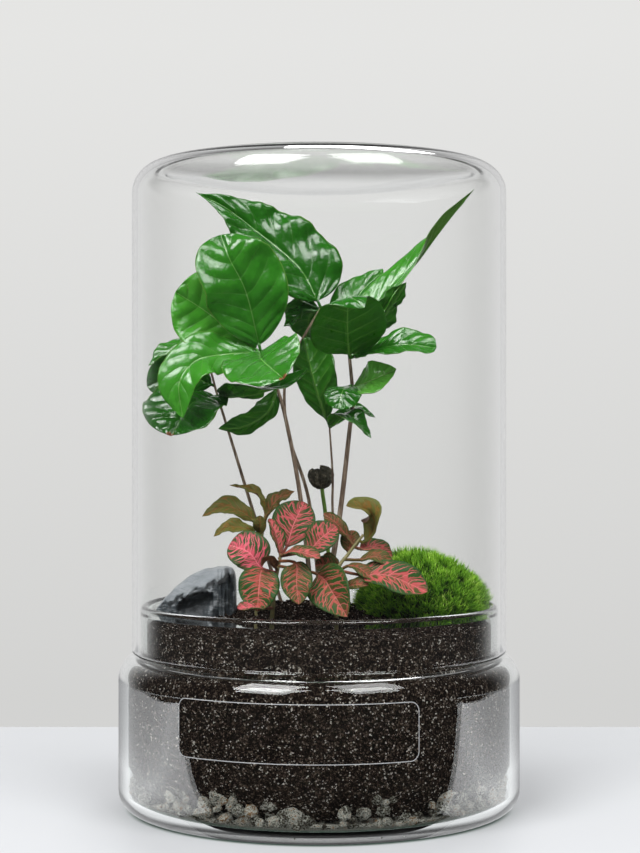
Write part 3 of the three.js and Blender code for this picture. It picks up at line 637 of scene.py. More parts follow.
def soil_height(x, y):
    """Height of the soil: highest in the middle, lower by the square of the distance from it, with
    a heap round the stems, bumps about 20 mm apart that fade towards the neck and finer ones."""
    share = np.minimum(np.hypot(x, y) / neck_inside, 1)
    low_bump = 0.5 * (np.sin(0.31 * x + 1) * np.cos(0.27 * y) - 0.2) * (1 - share**4)
    fine = 0.35 * np.sin(1.7 * x + 0.6 * y) * np.cos(1.4 * y - 0.8 * x)
    heap = STEM_HEAP * np.exp(-(((x + 8) / 32) ** 2) - ((y - 8) / 22) ** 2)
    return SOIL_EDGE + SOIL_CROWN * (1 - share**2) + heap + low_bump + fine * (1 - share**6)


crown = np.linspace(1, 0, 60)[:-1]
soil_profile = np.vstack(
    [
        [(0, SOIL_BOTTOM)],
        [(jar_inside - 9, SOIL_BOTTOM)],
        [(jar_inside - 5, SOIL_BOTTOM + 2)],
        [(jar_inside - 3.5, 14)],
        [(jar_inside - 1.5, 18)],
        [(jar_inside, 22)],
        arc(shoulder_at, SIDE_TOP, SHOULDER_ROUNDING - JAR_WALL - GAP, 0, 78, 10),
        [(neck_inside, SIDE_TOP + SHOULDER_ROUNDING - 1)],
        np.stack([neck_inside * crown, np.full(len(crown), SOIL_EDGE)], 1),
        [(0, SOIL_EDGE)],
    ]
)
soil_points, soil_faces = turned(soil_profile, 256)
on_top = soil_points[:, 2] >= SOIL_EDGE - 0.01
soil_points[on_top, 2] = soil_height(soil_points[on_top, 0], soil_points[on_top, 1])

earth, tree, shader = finish_of("potting_soil", Roughness=0.9, Specular_IOR_Level=0.0)
place = place_in(tree)
grains = node(tree, "ShaderNodeTexVoronoi", {"Vector": place, "Scale": 1900.0})
patches = noise(tree, place, 260, 5.0, 0.7).outputs["Fac"]
fleck = node(tree, "ShaderNodeSeparateColor", {"Color": grains.outputs["Color"]})
chance = math_of(tree, "ADD", fleck.outputs[0], math_of(tree, "MULTIPLY_ADD", patches, 0.5, -0.25))
tree.links.new(
    ramp(
        tree,
        chance,
        [
            (0.25, (0.004, 0.0025, 0.002)),
            (0.6, (0.016, 0.01, 0.0075)),
            (0.82, (0.05, 0.034, 0.026)),
            (0.95, (0.14, 0.105, 0.085)),
            (1.02, (0.55, 0.5, 0.46)),
        ],
    ),
    shader.inputs["Base Color"],
)
edges = math_of(tree, "MULTIPLY", grains.outputs["Distance"], -1.0)
bump(tree, shader, edges, 1.0, 1.0)

soil = new_mesh("soil_bed", soil_points, soil_faces, earth)
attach(soil, "root")
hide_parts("soil")

crumb_radius = (neck_inside - 1.2) * np.sqrt(random.uniform(0, 1, CRUMB_COUNT))
crumb_angle = random.uniform(0, 2 * np.pi, CRUMB_COUNT)
crumb_x = crumb_radius * np.cos(crumb_angle)
crumb_y = crumb_radius * np.sin(crumb_angle)
crumb_size = random.uniform(*CRUMB_SIZE, CRUMB_COUNT) * random.uniform(0.5, 1, CRUMB_COUNT)
crumb_z = soil_height(crumb_x, crumb_y) + 0.3 * crumb_size
crumbs = new_mesh(
    "soil_crumbs",
    *lumps(np.stack([crumb_x, crumb_y, crumb_z], 1), crumb_size, 3, 6, 0.3),
    earth,
)
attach(crumbs, "root")

# ---------------------------------------------------------------- slate
# A water-worn piece of dark slate, low at the left and high at the right, with a hollow worn
# into its front. It lies on the soil and sinks in a little.
SLATE = dict(x=-54.3, y=-2, length=36, depth=27, low=5, high=26, middle=3.6, foot=0.4)
RIDGE_HEIGHT, RIDGE_SLOPE = 11.9, 0.43
LEDGE_DEPTH = 2.4
HOLLOW_AT = (0.6, 5.2)
HOLLOW_SIZE = (9.0, 4.6)
HOLLOW_TILT = np.radians(22)
HOLLOW_DEPTH = 3.6
SLATE_ROWS, SLATE_COLUMNS = 110, 200


def squared(n):
    """A number pulled towards one by the power 0.75, which makes a round form boxier."""
    return np.sign(n) * np.abs(n) ** 0.75


def capped_grid(rows, columns):
    """Faces of a closed grid of points, with one flat face across its first row and one across
    its last."""
    faces = grid_quads(rows, columns, closed=True).tolist()
    ring = np.arange(columns)
    return faces + [ring[::-1].tolist(), ((rows - 1) * columns + ring).tolist()]


lift = np.linspace(0.001, np.pi - 0.001, SLATE_ROWS)[:, None]
spin = np.linspace(0, 2 * np.pi, SLATE_COLUMNS, endpoint=False)
ball_x = np.sin(lift) * np.cos(spin)
ball_y = np.sin(lift) * np.sin(spin)
ball_z = -np.cos(lift) * np.ones_like(spin)
along = (squared(ball_x) + 1) / 2
slate_x = squared(ball_x) * SLATE["length"] / 2
ripple = 1 + 0.04 * np.sin(5 * ball_x + 2) * np.cos(4 * ball_y)
fine_ripple = 1 + 0.012 * np.sin(17 * ball_x + 9 * ball_z) * np.sin(13 * ball_z - 6 * ball_x)
slate_y = squared(ball_y) * SLATE["depth"] / 2 * (0.7 + 0.3 * along) * ripple * fine_ripple
rise = SLATE["low"] + (SLATE["high"] - SLATE["low"]) * along**0.75
# Its right end stands up more squarely than its left.
slate_z = np.sign(ball_z) * np.abs(ball_z) ** (0.8 - 0.5 * along) * rise * ripple * fine_ripple
# The front lies back below a ridge that climbs to the right. In it is a tilted oval hollow with
# a raised rim, and shallow grooves and one deeper crease run down at the right.
ridge = (
    RIDGE_HEIGHT
    + RIDGE_SLOPE * slate_x
    + 0.8 * np.sin(0.9 * slate_x + 1)
    + 0.4 * np.sin(2.3 * slate_x)
)
below_ridge = np.clip((ridge - slate_z) / 2.5, 0, 1)
below_ridge = below_ridge**2 * (3 - 2 * below_ridge)
from_hollow = np.stack([slate_x - HOLLOW_AT[0], slate_z - HOLLOW_AT[1]])
tilt = np.array(
    [
        [np.cos(HOLLOW_TILT), np.sin(HOLLOW_TILT)],
        [-np.sin(HOLLOW_TILT), np.cos(HOLLOW_TILT)],
    ]
)
tilted = np.einsum("ij,jmn->imn", tilt, from_hollow) / np.array(HOLLOW_SIZE)[:, None, None]
away = np.hypot(tilted[0], tilted[1]) * (1 + 0.06 * np.sin(3 * slate_x))
hollow = HOLLOW_DEPTH * np.sqrt(np.clip(1 - away**2, 0, 1))
hollow -= 0.8 * np.exp(-(((away - 1.1) / 0.1) ** 2))
grooves = 0.3 * np.sin(4.2 * slate_x) * np.clip((slate_x - 8) / 4, 0, 1)
rough_face = 0.3 * np.sin(1.9 * slate_x + 2.7 * slate_z) * np.sin(3.1 * slate_z - slate_x)
on_front = np.clip(-2 * ball_y, 0, 1)
crease = np.exp(-(((slate_x - 15.2 - 0.2 * (16 - slate_z)) / 0.7) ** 2)) * (slate_z > 10)
scoop = on_front * (below_ridge * (LEDGE_DEPTH + rough_face) + hollow + grooves + crease)
slate_points = np.stack(
    [
        slate_x + SLATE["x"],
        slate_y + scoop + SLATE["y"],
        np.maximum(slate_z + SOIL_EDGE + SLATE["middle"], SOIL_EDGE + SLATE["foot"]),
    ],
    -1,
)

worn_slate, tree, shader = finish_of("worn_slate", Roughness=0.38)
place = place_in(tree)
stretched = node(
    tree,
    "ShaderNodeMapping",
    {"Vector": place, "Rotation": (0.2, 0.35, 0.1), "Scale": (1.0, 1.0, 3.0)},
)
layers = noise(tree, stretched.outputs[0], 160, 8.0, 0.7).outputs["Fac"]
# Away from its front the stone is light grey: its own grey lightened by a painted sheen.
smooth_grey_and_sheen = ramp(
    tree,
    layers,
    [(0.3, (0.17, 0.19, 0.205)), (0.55, (0.27, 0.29, 0.31)), (0.75, (0.36, 0.38, 0.4))],
)
# The front below the ridge is darker, partly its broken face and partly painted shade. Along
# the ridge and round the hollow's rim it is paler: a painted highlight on these edges.
front_shade_and_highlight = ramp(
    tree,
    math_of(tree, "MULTIPLY_ADD", attribute(tree, "painted_edge_highlight"), 0.17, layers),
    [(0.35, (0.018, 0.023, 0.028)), (0.56, (0.055, 0.068, 0.078)), (0.72, (0.34, 0.36, 0.38))],
)
# The front below the ridge takes the dark colour: painted shade on its broken face.
stone_grey = blend_of(tree, attribute(tree, "broken_and_shaded"), smooth_grey_and_sheen, front_shade_and_highlight)
# Inside the hollow and the crease the stone is nearly black: painted shade.
stone_grey = blend_of(tree, attribute(tree, "hollow"), stone_grey, (0.01, 0.013, 0.016, 1))
tree.links.new(stone_grey, shader.inputs["Base Color"])
bump(tree, shader, layers, 0.8, 1.0)
slate = new_mesh("slate", slate_points, capped_grid(SLATE_ROWS, SLATE_COLUMNS), worn_slate)
# Painted shade on the broken front below the ridge.
point_value(slate, "broken_and_shaded", on_front * below_ridge)
# Painted shade in the hollow and the crease.
point_value(slate, "hollow", on_front * np.clip(6 * (1 - away), 0, 0.6) + 0.8 * crease * on_front)
# A painted highlight along the ridge's edge and round the hollow's rim, stronger on its right.
edge_band = np.exp(-(((ridge - slate_z - 1.6) / 1.3) ** 2))
rim_band = np.exp(-(((away - 1.12) / 0.1) ** 2)) * np.clip(0.6 + tilted[0], 0, 1)
point_value(slate, "painted_edge_highlight", on_front * np.clip(edge_band + rim_band, 0, 1))
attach(slate, "root")
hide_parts("slate_stone")

# ---------------------------------------------------------------- moss
# A cushion of haircap moss laid on the soil against the glass. Each stem ends in a star of
# pointed leaves, dark at the base and yellow-green at the tips.
MOSS = dict(x=45.5, y=4, radius=30.5, height=28, lean=0.16)
STAR_COUNT = 2300
SPIKES = 8
SPIKE_LENGTH = (2.4, 6.0)
SPIKE_WIDTH = 0.32
CORE_ROWS, CORE_COLUMNS = 40, 80
COVER_INSIDE = 79  # the cover's inner radius, less a little room

moss_base = SOIL_EDGE + 2


def moss_surface(lift, spin, inset):
    """The cushion's surface, `inset` millimetres below its tips: a dome whose radius swells and
    shrinks three times round and whose top leans down to the right."""
    lobe = 1 + 0.05 * np.sin(3 * spin + 1)
    x = (MOSS["radius"] - inset) * lobe * np.cos(lift) * np.cos(spin)
    y = (MOSS["radius"] - inset) * lobe * np.cos(lift) * np.sin(spin)
    lumpy = 1 + 0.05 * np.sin(0.45 * x + 1) * np.cos(0.5 * y)
    z = (MOSS["height"] - inset) * np.sin(lift) * (1 - MOSS["lean"] * x / MOSS["radius"])
    z = z * lumpy
    x, y, z = x + MOSS["x"], y + MOSS["y"], z + moss_base
    room = np.where(z < RIM_TOP + 1.5, neck_inside - 1.5, COVER_INSIDE - 2.5)
    inward = np.minimum(1, room / np.maximum(np.hypot(x, y), 1e-6))
    return np.stack([x * inward, y * inward, z], -1)


lift = np.radians(np.linspace(-4, 89.5, CORE_ROWS))[:, None]
spin = np.linspace(0, 2 * np.pi, CORE_COLUMNS, endpoint=False)
core_points = moss_surface(lift, spin + 0 * lift, 2.2).reshape(-1, 3)
core_faces = capped_grid(CORE_ROWS, CORE_COLUMNS)

star_lift = np.arcsin(random.uniform(0.02, 1, STAR_COUNT))
star_spin = random.uniform(0, 2 * np.pi, STAR_COUNT)
root = moss_surface(star_lift, star_spin, 2.6 + random.uniform(-0.8, 0.8, STAR_COUNT))
outward = root - np.array([MOSS["x"], MOSS["y"], moss_base - 6])
outward /= np.linalg.norm(outward, axis=1, keepdims=True)
spread = random.normal(0, 0.42, (STAR_COUNT, SPIKES, 3))
way = outward[:, None] + spread + np.array([0, 0, 0.3])
way /= np.linalg.norm(way, axis=2, keepdims=True)
length = random.uniform(*SPIKE_LENGTH, (STAR_COUNT, SPIKES, 1))
beside = np.cross(way, random.normal(size=way.shape))
beside /= np.linalg.norm(beside, axis=2, keepdims=True)
third = np.cross(way, beside)
turn = 2 * np.pi * np.arange(3) / 3
ring = np.cos(turn)[:, None] * beside[:, :, None] + np.sin(turn)[:, None] * third[:, :, None]
foot = root[:, None, None] + ring * SPIKE_WIDTH / 2
middle = (
    root[:, None, None]
    + (way * length * 0.55)[:, :, None]
    + ring * SPIKE_WIDTH * 0.42
)
tip = root[:, None] + way * length + np.array([0, 0, 0.3])
spikes = np.concatenate([foot, middle, tip[:, :, None]], 2).reshape(-1, 3)
room = np.where(spikes[:, 2] < RIM_TOP + 1.2, neck_inside - 0.6, COVER_INSIDE)
from_axis = np.maximum(np.hypot(spikes[:, 0], spikes[:, 1]), 1e-6)
spikes[:, :2] *= np.minimum(1, room / from_axis)[:, None]
sides = np.array([[0, 1, 4, 3], [1, 2, 5, 4], [2, 0, 3, 5]])
ends = np.array([[3, 4, 6], [4, 5, 6], [5, 3, 6], [2, 1, 0]])
start = 7 * np.arange(STAR_COUNT * SPIKES)[:, None, None]
spike_faces = (sides[None] + start).reshape(-1, 4).tolist()
spike_faces += (ends[None] + start).reshape(-1, 3).tolist()

moss_green, tree, shader = finish_of("moss_green", Roughness=0.6, Specular_IOR_Level=0.12)
place = place_in(tree)
drift = noise(tree, place, 140).outputs["Fac"]
total = math_of(tree, "ADD", attribute(tree, "tipness"), math_of(tree, "SUBTRACT", drift, 0.55))
tree.links.new(
    ramp(
        tree,
        total,
        [
            (0.0, (0.006, 0.016, 0.001)),
            (0.3, (0.03, 0.1, 0.004)),
            (0.6, (0.12, 0.31, 0.012)),
            (0.84, (0.27, 0.5, 0.035)),
            (1.0, (0.7, 0.82, 0.25)),
        ],
    ),
    shader.inputs["Base Color"],
)
moss = new_mesh(
    "moss",
    np.vstack([core_points, spikes]),
    core_faces + [[corner + len(core_points) for corner in face] for face in spike_faces],
    moss_green,
)
star_tone = np.repeat(random.uniform(0, 0.35, STAR_COUNT), SPIKES * 7)
rank = np.tile([0.1] * 3 + [0.45] * 3 + [0.85], STAR_COUNT * SPIKES)
point_value(
    moss,
    "tipness",
    np.append(np.full(len(core_points), 0.05), rank * (0.75 + star_tone) + star_tone * 0.3),
)
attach(moss, "root")
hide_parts("moss_cushion")

# ---------------------------------------------------------------- coffee seedlings
# Five young coffee plants with thin brown stems. The leaves are glossy, quilted between their
# side veins, with a pale midrib and a long tip. Each stem goes down into the soil.
STALK = 0.65
BLADE = 0.5
LEAF_ROWS, LEAF_COLUMNS = 64, 29
STEM_ROWS, STEM_COLUMNS = 60, 14
SIDE_VEINS = 7
QUILT = 1.0

COFFEE = dict(fold=12, wave=1.4, waves=2.5)
UNDER = dict(fold=10, wave=1.2, waves=2)
COFFEE_PLANTS = {
    "coffee_left": dict(
        radius=0.8,
        stem=[
            (-16, 12, 73), (-16, 12, 84), (-18.5, 12, 93), (-29.5, 11, 128.5), (-39.5, 8, 161.5),
            (-45, 4, 180), (-48.5, 4, 193),
        ],
        leaves=[
            dict(
                **COFFEE,
                rib=[(-48, 5, 192), (-62, 8, 201.5), (-76.5, 6, 193.5)],
                face=[(-0.1, -0.5, 0.85), (-0.3, -0.6, 0.7)],
                width=15, tone=0.4,
            ),
            dict(
                **COFFEE,
                rib=[(-46.2, 4, 184.5), (-62, 1, 189.5), (-76, -2, 184)],
                face=[(0.35, -0.93, 0), (0.1, -0.98, 0)],
                width=20, tone=0.2, quilt=0.7, taper=0.6,
            ),
            dict(
                **COFFEE,
                rib=[(-45, 4, 180), (-55, -11, 177), (-63.5, -23, 162.5)],
                face=[(-0.1, -0.6, 0.75), (-0.35, -0.8, 0.4)],
                width=38, tone=0.22, quilt=2.0, spot=1, taper=0.5,
            ),
            dict(
                **UNDER,
                rib=[(-45, 4, 180), (-30, -23, 180.5), (-14, -25, 185), (-4.5, -23, 191.5)],
                face=[(0.1, 0.5, 0.8), (0, 0.7, 0.7), (0, -0.1, 0.95), (-0.2, -0.7, 0.6)],
                width=17, tone=0.32,
            ),
        ],
    ),
    "coffee_middle": dict(
        radius=1.05,
        stem=[
            (-2.6, -3, 73), (-2.6, -3, 85), (-8, -3.5, 134), (-14, -5, 167), (-19, -6, 185),
            (-26, -8.5, 199),
        ],
        leaves=[
            dict(
                rib=[
                    (-25.5, -8.5, 199.5), (-31.5, -15, 224.5), (-38.5, -19, 239),
                    (-42.5, -14, 249.5),
                ],
                face=[(0.1, -0.95, 0.25), (0, -0.9, 0.35), (-0.1, -0.6, 0.7)],
                width=38, tone=0.38, quilt=1.8, fold=10, wave=1.2, taper=0.6,
            ),
            dict(
                **COFFEE,
                rib=[(-26, -8.5, 199), (-41, -9, 210.5), (-51, -11, 218), (-62, -14, 225)],
                face=[(-0.1, -0.85, 0.5), (-0.25, -0.85, 0.45)],
                # Its lighter tone is painted light, for the light and sheen that another leaf keeps
                # from it.
                width=40, tone=0.62, quilt=2.0, taper=0.5,
            ),
            dict(
                **COFFEE,
                rib=[
                    (-26, -9, 199), (-42, -18, 197.5), (-52.5, -25, 194.5), (-59, -30, 185),
                    (-57.5, -31, 170),
                ],
                face=[(0.1, -0.75, 0.65), (0, -0.85, 0.5), (-0.2, -0.9, 0.35), (-0.35, -0.9, 0.1)],
                width=23, tone=0.5,
            ),
            dict(
                **COFFEE,
                rib=[(-26, -9.5, 199), (-24.3, -27, 195), (-14.5, -42, 186.5)],
                face=[(-0.3, -0.45, 0.85), (-0.4, -0.6, 0.7)],
                width=36, tone=0.42, quilt=1.2, spot=1, taper=0.6,
            ),
            dict(
                **UNDER,
                rib=[(-18.5, -6, 184), (-22.5, -8, 173.5), (-32.5, -8, 167), (-44, -6, 165.5)],
                face=[(-0.4, 0.75, 0.5)],
                width=13, tone=0.15,
            ),
        ],
    ),
    "coffee_rear": dict(
        radius=0.8,
        stem=[
            (0.5, 7, 73), (0.5, 7, 84), (0.1, 7, 92), (-4.5, 7, 133.5), (-13, 8, 160.5),
            (-15.5, 9, 177), (-14, 9, 191.5), (-6.5, 9, 207), (1, 8, 219.5),
        ],
        leaves=[
            dict(
                rib=[
                    (1, 8, 219), (-8.8, 11, 237.5), (-29.5, 12, 255.3), (-43.5, 10, 265.5),
                    (-55, 8, 270.5),
                ],
                face=[(0.35, -0.85, 0.4), (0.2, -0.85, 0.5), (0, -0.85, 0.55)],
                width=40, tone=0.25, quilt=1.9, fold=8, wave=1.8, waves=4.5, blunt=0.5, taper=1.3,
            ),
            dict(
                **COFFEE,
                rib=[(0.5, 8.5, 218), (-7, 14, 218), (-16, 17, 211.5)],
                face=[(0.2, -0.6, 0.8)],
                width=12, tone=0.3,
            ),
            dict(
                **COFFEE,
                rib=[(1, 9, 219), (-4, 24, 218), (-6, 39, 206)],
                face=[(0, 0.3, 0.95), (0, 0.8, 0.6)],
                width=24, tone=0.3,
            ),
        ],
    ),
    "coffee_slim": dict(
        radius=0.65,
        stem=[(8, 7, 73), (8, 7, 85), (6, 5, 128.5), (6, 4, 144.5), (4.5, 2, 168)],
        leaves=[
            dict(
                **UNDER,
                rib=[(4.5, 2, 167), (-1, 0, 184), (-6.5, 3, 206)],
                face=[(0.3, 0.85, 0.3), (0.55, 0.8, 0.2)],
                width=22.5, tone=0.05, quilt=1.6, blunt=1, taper=0.7,
            ),
            dict(
                rib=[(4.5, 2, 166.5), (13, -11.5, 171.5), (22.5, -13, 161.5)],
                face=[(-0.1, -0.45, 0.85), (0.5, -0.5, 0.6)],
                width=13, tone=0.22, quilt=0.6, fold=14, wave=0.7,
            ),
            dict(
                rib=[(4.6, 2.5, 166), (15, 7, 174), (25, 6, 170.5)],
                face=[(0, -0.4, 0.9)],
                width=9, tone=0.3, quilt=0.5, fold=14, wave=0.5,
            ),
        ],
    ),
    "coffee_right": dict(
        radius=1.2,
        stem=[
            (2.6, -2, 73), (2.6, -2, 84), (3.3, -2, 92), (9, -2, 127), (13.3, -2, 164),
            (14.8, -2, 178.5), (13.3, -1.5, 198),
        ],
        leaves=[
            dict(
                rib=[
                    (13.5, -1, 197), (27.5, 7, 222), (42.5, 11, 239), (51.5, 11, 251),
                    (60, 9, 261.5), (69, 5, 271.5),
                ],
                face=[
                    (-0.5, -0.65, 0.55), (-0.5, -0.7, 0.5), (-0.5, -0.75, 0.45),
                    (-0.6, -0.6, 0.5), (-0.72, -0.3, 0.55), (-0.8, 0.05, 0.6),
                    (-0.7, 0.45, 0.5), (-0.55, 0.7, 0.45),
                ],
                width=18.5, tone=0.5, veins=9, quilt=1.0, fold=22, wave=0.6, taper=1.1,
            ),
            dict(
                **COFFEE,
                rib=[(13.3, 0, 197), (16, 15, 222), (29, 25, 238)],
                face=[(-0.3, -0.8, 0.5)],
                width=22, tone=0.35, quilt=1.4,
            ),
            dict(
                rib=[
                    (13.3, -2.5, 197), (12.3, -13, 206), (12, -22, 214.5), (12.5, -29, 221),
                    (15, -34, 220.5), (19, -37, 216.5),
                ],
                face=[
                    (0, 0.9, 0.4), (-0.1, 0.9, 0.4), (-0.2, 0.8, 0.6), (-0.25, 0.3, 0.9),
                    (-0.4, -0.6, 0.8),
                ],
                width=34, tone=0.3, fold=-10, wave=0.6, blunt=0.6, taper=0.9,
            ),
            dict(
                rib=[(14, -1, 197), (25.5, 2, 211.5), (38.5, 1, 230)],
                face=[(-0.45, 0.65, 0.6)],
                width=18, tone=0.3, fold=8, wave=1.8, waves=3.5,
            ),
            dict(
                rib=[(13.5, -3, 196.5), (27, -13, 200.5), (37.5, -17, 202), (50.5, -18, 200.5)],
                face=[(-0.1, -0.6, 0.8), (0, -0.65, 0.75), (0.1, -0.65, 0.75)],
                width=17, tone=0.36, fold=14, wave=0.8, taper=0.35,
            ),
            dict(
                rib=[(14.5, -2, 183.5), (22.5, -9, 186.5), (33.5, -11, 191.5)],
                face=[(0.15, -0.75, 0.6), (-0.2, -0.8, 0.6)],
                width=18, tone=0.75, fold=14, wave=0.5, quilt=0.6,
            ),
            dict(
                rib=[(14.3, -2.5, 184.5), (10.5, -14, 182.5), (8, -19, 174)],
                face=[(0, -0.3, 0.95), (-0.1, -0.85, 0.5)],
                width=17, tone=0.3, quilt=0.7, fold=-12, wave=0.6, taper=0.55,
            ),
        ],
    ),
}


def through(points, share):
    """Places on a smooth curve through the points, at these shares of its length. Between two
    points it is a cubic whose slope at each point is half the step between its neighbours."""
    points = np.asarray(points, float)
    padded = np.vstack([2 * points[0] - points[1], points, 2 * points[-1] - points[-2]])
    spans = len(points) - 1

    def on_span(place):
        first = np.clip(place.astype(int), 0, spans - 1)
        part = (place - first)[:, None]
        before, start, end, after = (padded[first + k] for k in range(4))
        into, out = (end - before) / 2, (after - start) / 2
        return (
            start
            + into * part
            + (3 * (end - start) - 2 * into - out) * part**2
            + (2 * (start - end) + into + out) * part**3
        )

    fine = np.linspace(0, spans, 300)
    steps = np.linalg.norm(np.diff(on_span(fine), axis=0), axis=1)
    run = np.append(0, np.cumsum(steps))
    return on_span(np.interp(np.asarray(share) * run[-1], run, fine))


def unit(vectors):
    """The same directions with length one."""
    return vectors / np.maximum(np.linalg.norm(vectors, axis=-1, keepdims=True), 1e-9)


def tube(points, radii, rows, columns):
    """Points and faces of a round stem along a smooth curve, with its radius running through
    `radii`. Each ring lies square to the curve, and a flat face closes each end."""
    share = np.linspace(0, 1, rows)
    centre = through(points, share)
    along = unit(np.gradient(centre, axis=0))
    side = unit(np.cross(along, [0.0, 1.0, 0.0]))
    front = np.cross(along, side)
    spin = 2 * np.pi * np.arange(columns) / columns
    radius = np.interp(share, np.linspace(0, 1, len(radii)), radii)[:, None, None]
    ring = np.cos(spin)[:, None] * side[:, None] + np.sin(spin)[:, None] * front[:, None]
    return (centre[:, None] + radius * ring).reshape(-1, 3), capped_grid(rows, columns)


def blade(
    rib,
    face,
    width,
    fold=12,
    wave=1.2,
    waves=2.5,
    blunt=0.7,
    taper=0.85,
    stem=0.05,
    quilt=QUILT,
    veins=SIDE_VEINS,
    slant=0.3,
    tone=0.35,
    spot=0.0,
    rows=LEAF_ROWS,
    columns=LEAF_COLUMNS,
):
    """A leaf along its rib. Its stalk is the share `stem`, and t runs from 0 at the stalk's end to
    1 at the tip. The half width goes as t^blunt (1 - t)^taper, the halves fold up from the rib by
    `fold` degrees, and the margin waves `waves` times by `wave` millimetres, with finer waves on
    it. The side veins start evenly along the rib and lean forward by `slant` of its length at the
    margin. The blade swells between them by a power of the sine of the way from one to the next,
    has a groove along its rib above, and its rib stands out below. Returns its points, its faces,
    and a table of values for each point."""
    # Four rows lie on the stalk, the rest on the blade and closer together towards its base.
    run = np.linspace(0, 1, rows - 4)
    share = np.append(stem * np.linspace(0, 0.9, 4), stem + (1 - stem) * run**1.15)
    t = np.maximum((share - stem) / (1 - stem), 0)
    centre = through(rib, share)
    along = unit(np.gradient(centre, axis=0))
    faces_at = unit(np.asarray(face, float))
    up = np.stack(
        [
            np.interp(share, np.linspace(0, 1, len(faces_at)), faces_at[:, k])
            if len(faces_at) > 1
            else np.full(rows, faces_at[0, k])
            for k in range(3)
        ],
        1,
    )
    up = unit(up - (up * along).sum(1, keepdims=True) * along)
    side = np.cross(along, up)
    # The half width at each row, given in shares of its largest value.
    widest = blunt / (blunt + taper)
    full = widest**blunt * (1 - widest) ** taper
    half = width / 2 * t**blunt * (1 - t) ** taper / full
    half = np.maximum(half, np.where(t > 0.5, 0.12, STALK))[:, None]

    # Across the leaf, v runs from -1 at one margin over 0 at the rib to 1 at the other.
    v = np.linspace(-1, 1, columns)
    v = np.sign(v) * np.abs(v) ** 1.15
    reach = np.abs(v)[None]
    out = half * reach
    lift = np.radians(fold)
    ripple = wave * (out / (width / 2)) * np.sin(2 * np.pi * waves * share[:, None] + 2 * v)
    small = 0.22 * wave * reach**3 * np.sin(2 * np.pi * 3.1 * waves * share[:, None] + 5 * v)
    small = small * np.minimum(1, half / (width / 4))
    # The phase is a whole number on each side vein.
    phase = veins * (t[:, None] - slant * reach**1.15 * (0.6 + 0.4 * (1 - t[:, None])))
    swell = np.abs(np.sin(np.pi * phase)) ** 0.45
    room = np.minimum(1, half / (width / 4)) * reach**0.35 * (1 - reach**5)
    puff = quilt * (swell - 0.6) * room * (t[:, None] > 0)
    groove = -0.5 * quilt * np.exp(-((out / 0.9) ** 2)) * (half > 2 * STALK)
    middle = (
        centre[:, None]
        + side[:, None] * (half * v * np.cos(lift))[..., None]
        + up[:, None] * (out * np.sin(lift) + ripple + small + puff + groove)[..., None]
    )
    normal = unit(np.cross(np.gradient(middle, axis=1), np.gradient(middle, axis=0)))
    # The stalk is round. The blade is a thin sheet, thinner still at its margin and tip.
    stalked = np.clip(1 - t / 0.06, 0, 1)[:, None]
    round_part = STALK * np.sqrt(np.clip(1 - reach**2, 0.02, 1))
    flat_part = BLADE / 2 * (1 - 0.6 * reach**4) * np.minimum(1, 3 * (1.02 - t[:, None]))
    under_rib = 0.55 * np.exp(-((out / 0.7) ** 2)) * (1 - t[:, None]) * (1 - stalked)
    above = stalked * round_part + (1 - stalked) * flat_part
    upper = middle + normal * above[..., None]
    lower = middle - normal * (above + under_rib)[..., None]

    # The rim joins the upper side's border to the lower side's, once round the leaf.
    count = rows * columns
    quads = grid_quads(rows, columns)
    edge = np.concatenate(
        [
            np.arange(columns - 1),
            np.arange(rows - 1) * columns + columns - 1,
            (rows - 1) * columns + np.arange(columns - 1, 0, -1),
            np.arange(rows - 1, 0, -1) * columns,
        ]
    )
    beyond = np.roll(edge, -1)
    rim = np.stack([edge, edge + count, beyond + count, beyond], 1)
    shape = (rows, columns)
    values = {
        "vein_phase": phase,
        "vein_side": np.broadcast_to(v, shape),
        "from_rib": np.broadcast_to(out, shape),
        "along": np.broadcast_to(t[:, None], shape),
        "tone": np.full(shape, tone),
        "spot": spot * np.clip((t[:, None] - 0.9) / 0.1, 0, 1) * np.clip(1.6 - out / 2, 0, 1),
        "relief": puff,
    }
    values = {name: np.tile(one.ravel(), 2) for name, one in values.items()}
    values["underside"] = np.repeat([0.0, 1.0], count)
    return (
        np.concatenate([upper.reshape(-1, 3), lower.reshape(-1, 3)]),
        np.concatenate([quads, quads[:, ::-1] + count, rim]).tolist(),
        values,
    )


def plant(name, stem, radius, leaves, materials):
    """One plant as one piece: its stem, thicker at the foot, and its leaves."""
    radii = [radius, radius, 0.85 * radius, 0.6 * radius]
    points, faces = tube(stem, radii, STEM_ROWS, STEM_COLUMNS)
    blades = [blade(**one) for one in leaves]
    made_points, made_faces, start = [points], list(faces), len(points)
    for blade_points, blade_faces, _ in blades:
        made_points.append(blade_points)
        made_faces += (np.array(blade_faces) + start).tolist()
        start += len(blade_points)
    piece = new_mesh(name, np.concatenate(made_points), made_faces, materials)
    which = np.ones(len(made_faces), int)
    which[: len(faces)] = 0
    piece.data.polygons.foreach_set("material_index", which)
    for value in blades[0][2]:
        of_stem = np.zeros(len(points))
        point_value(piece, value, np.concatenate([of_stem, *(b[2][value] for b in blades)]))
    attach(piece, "root")
    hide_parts(name)


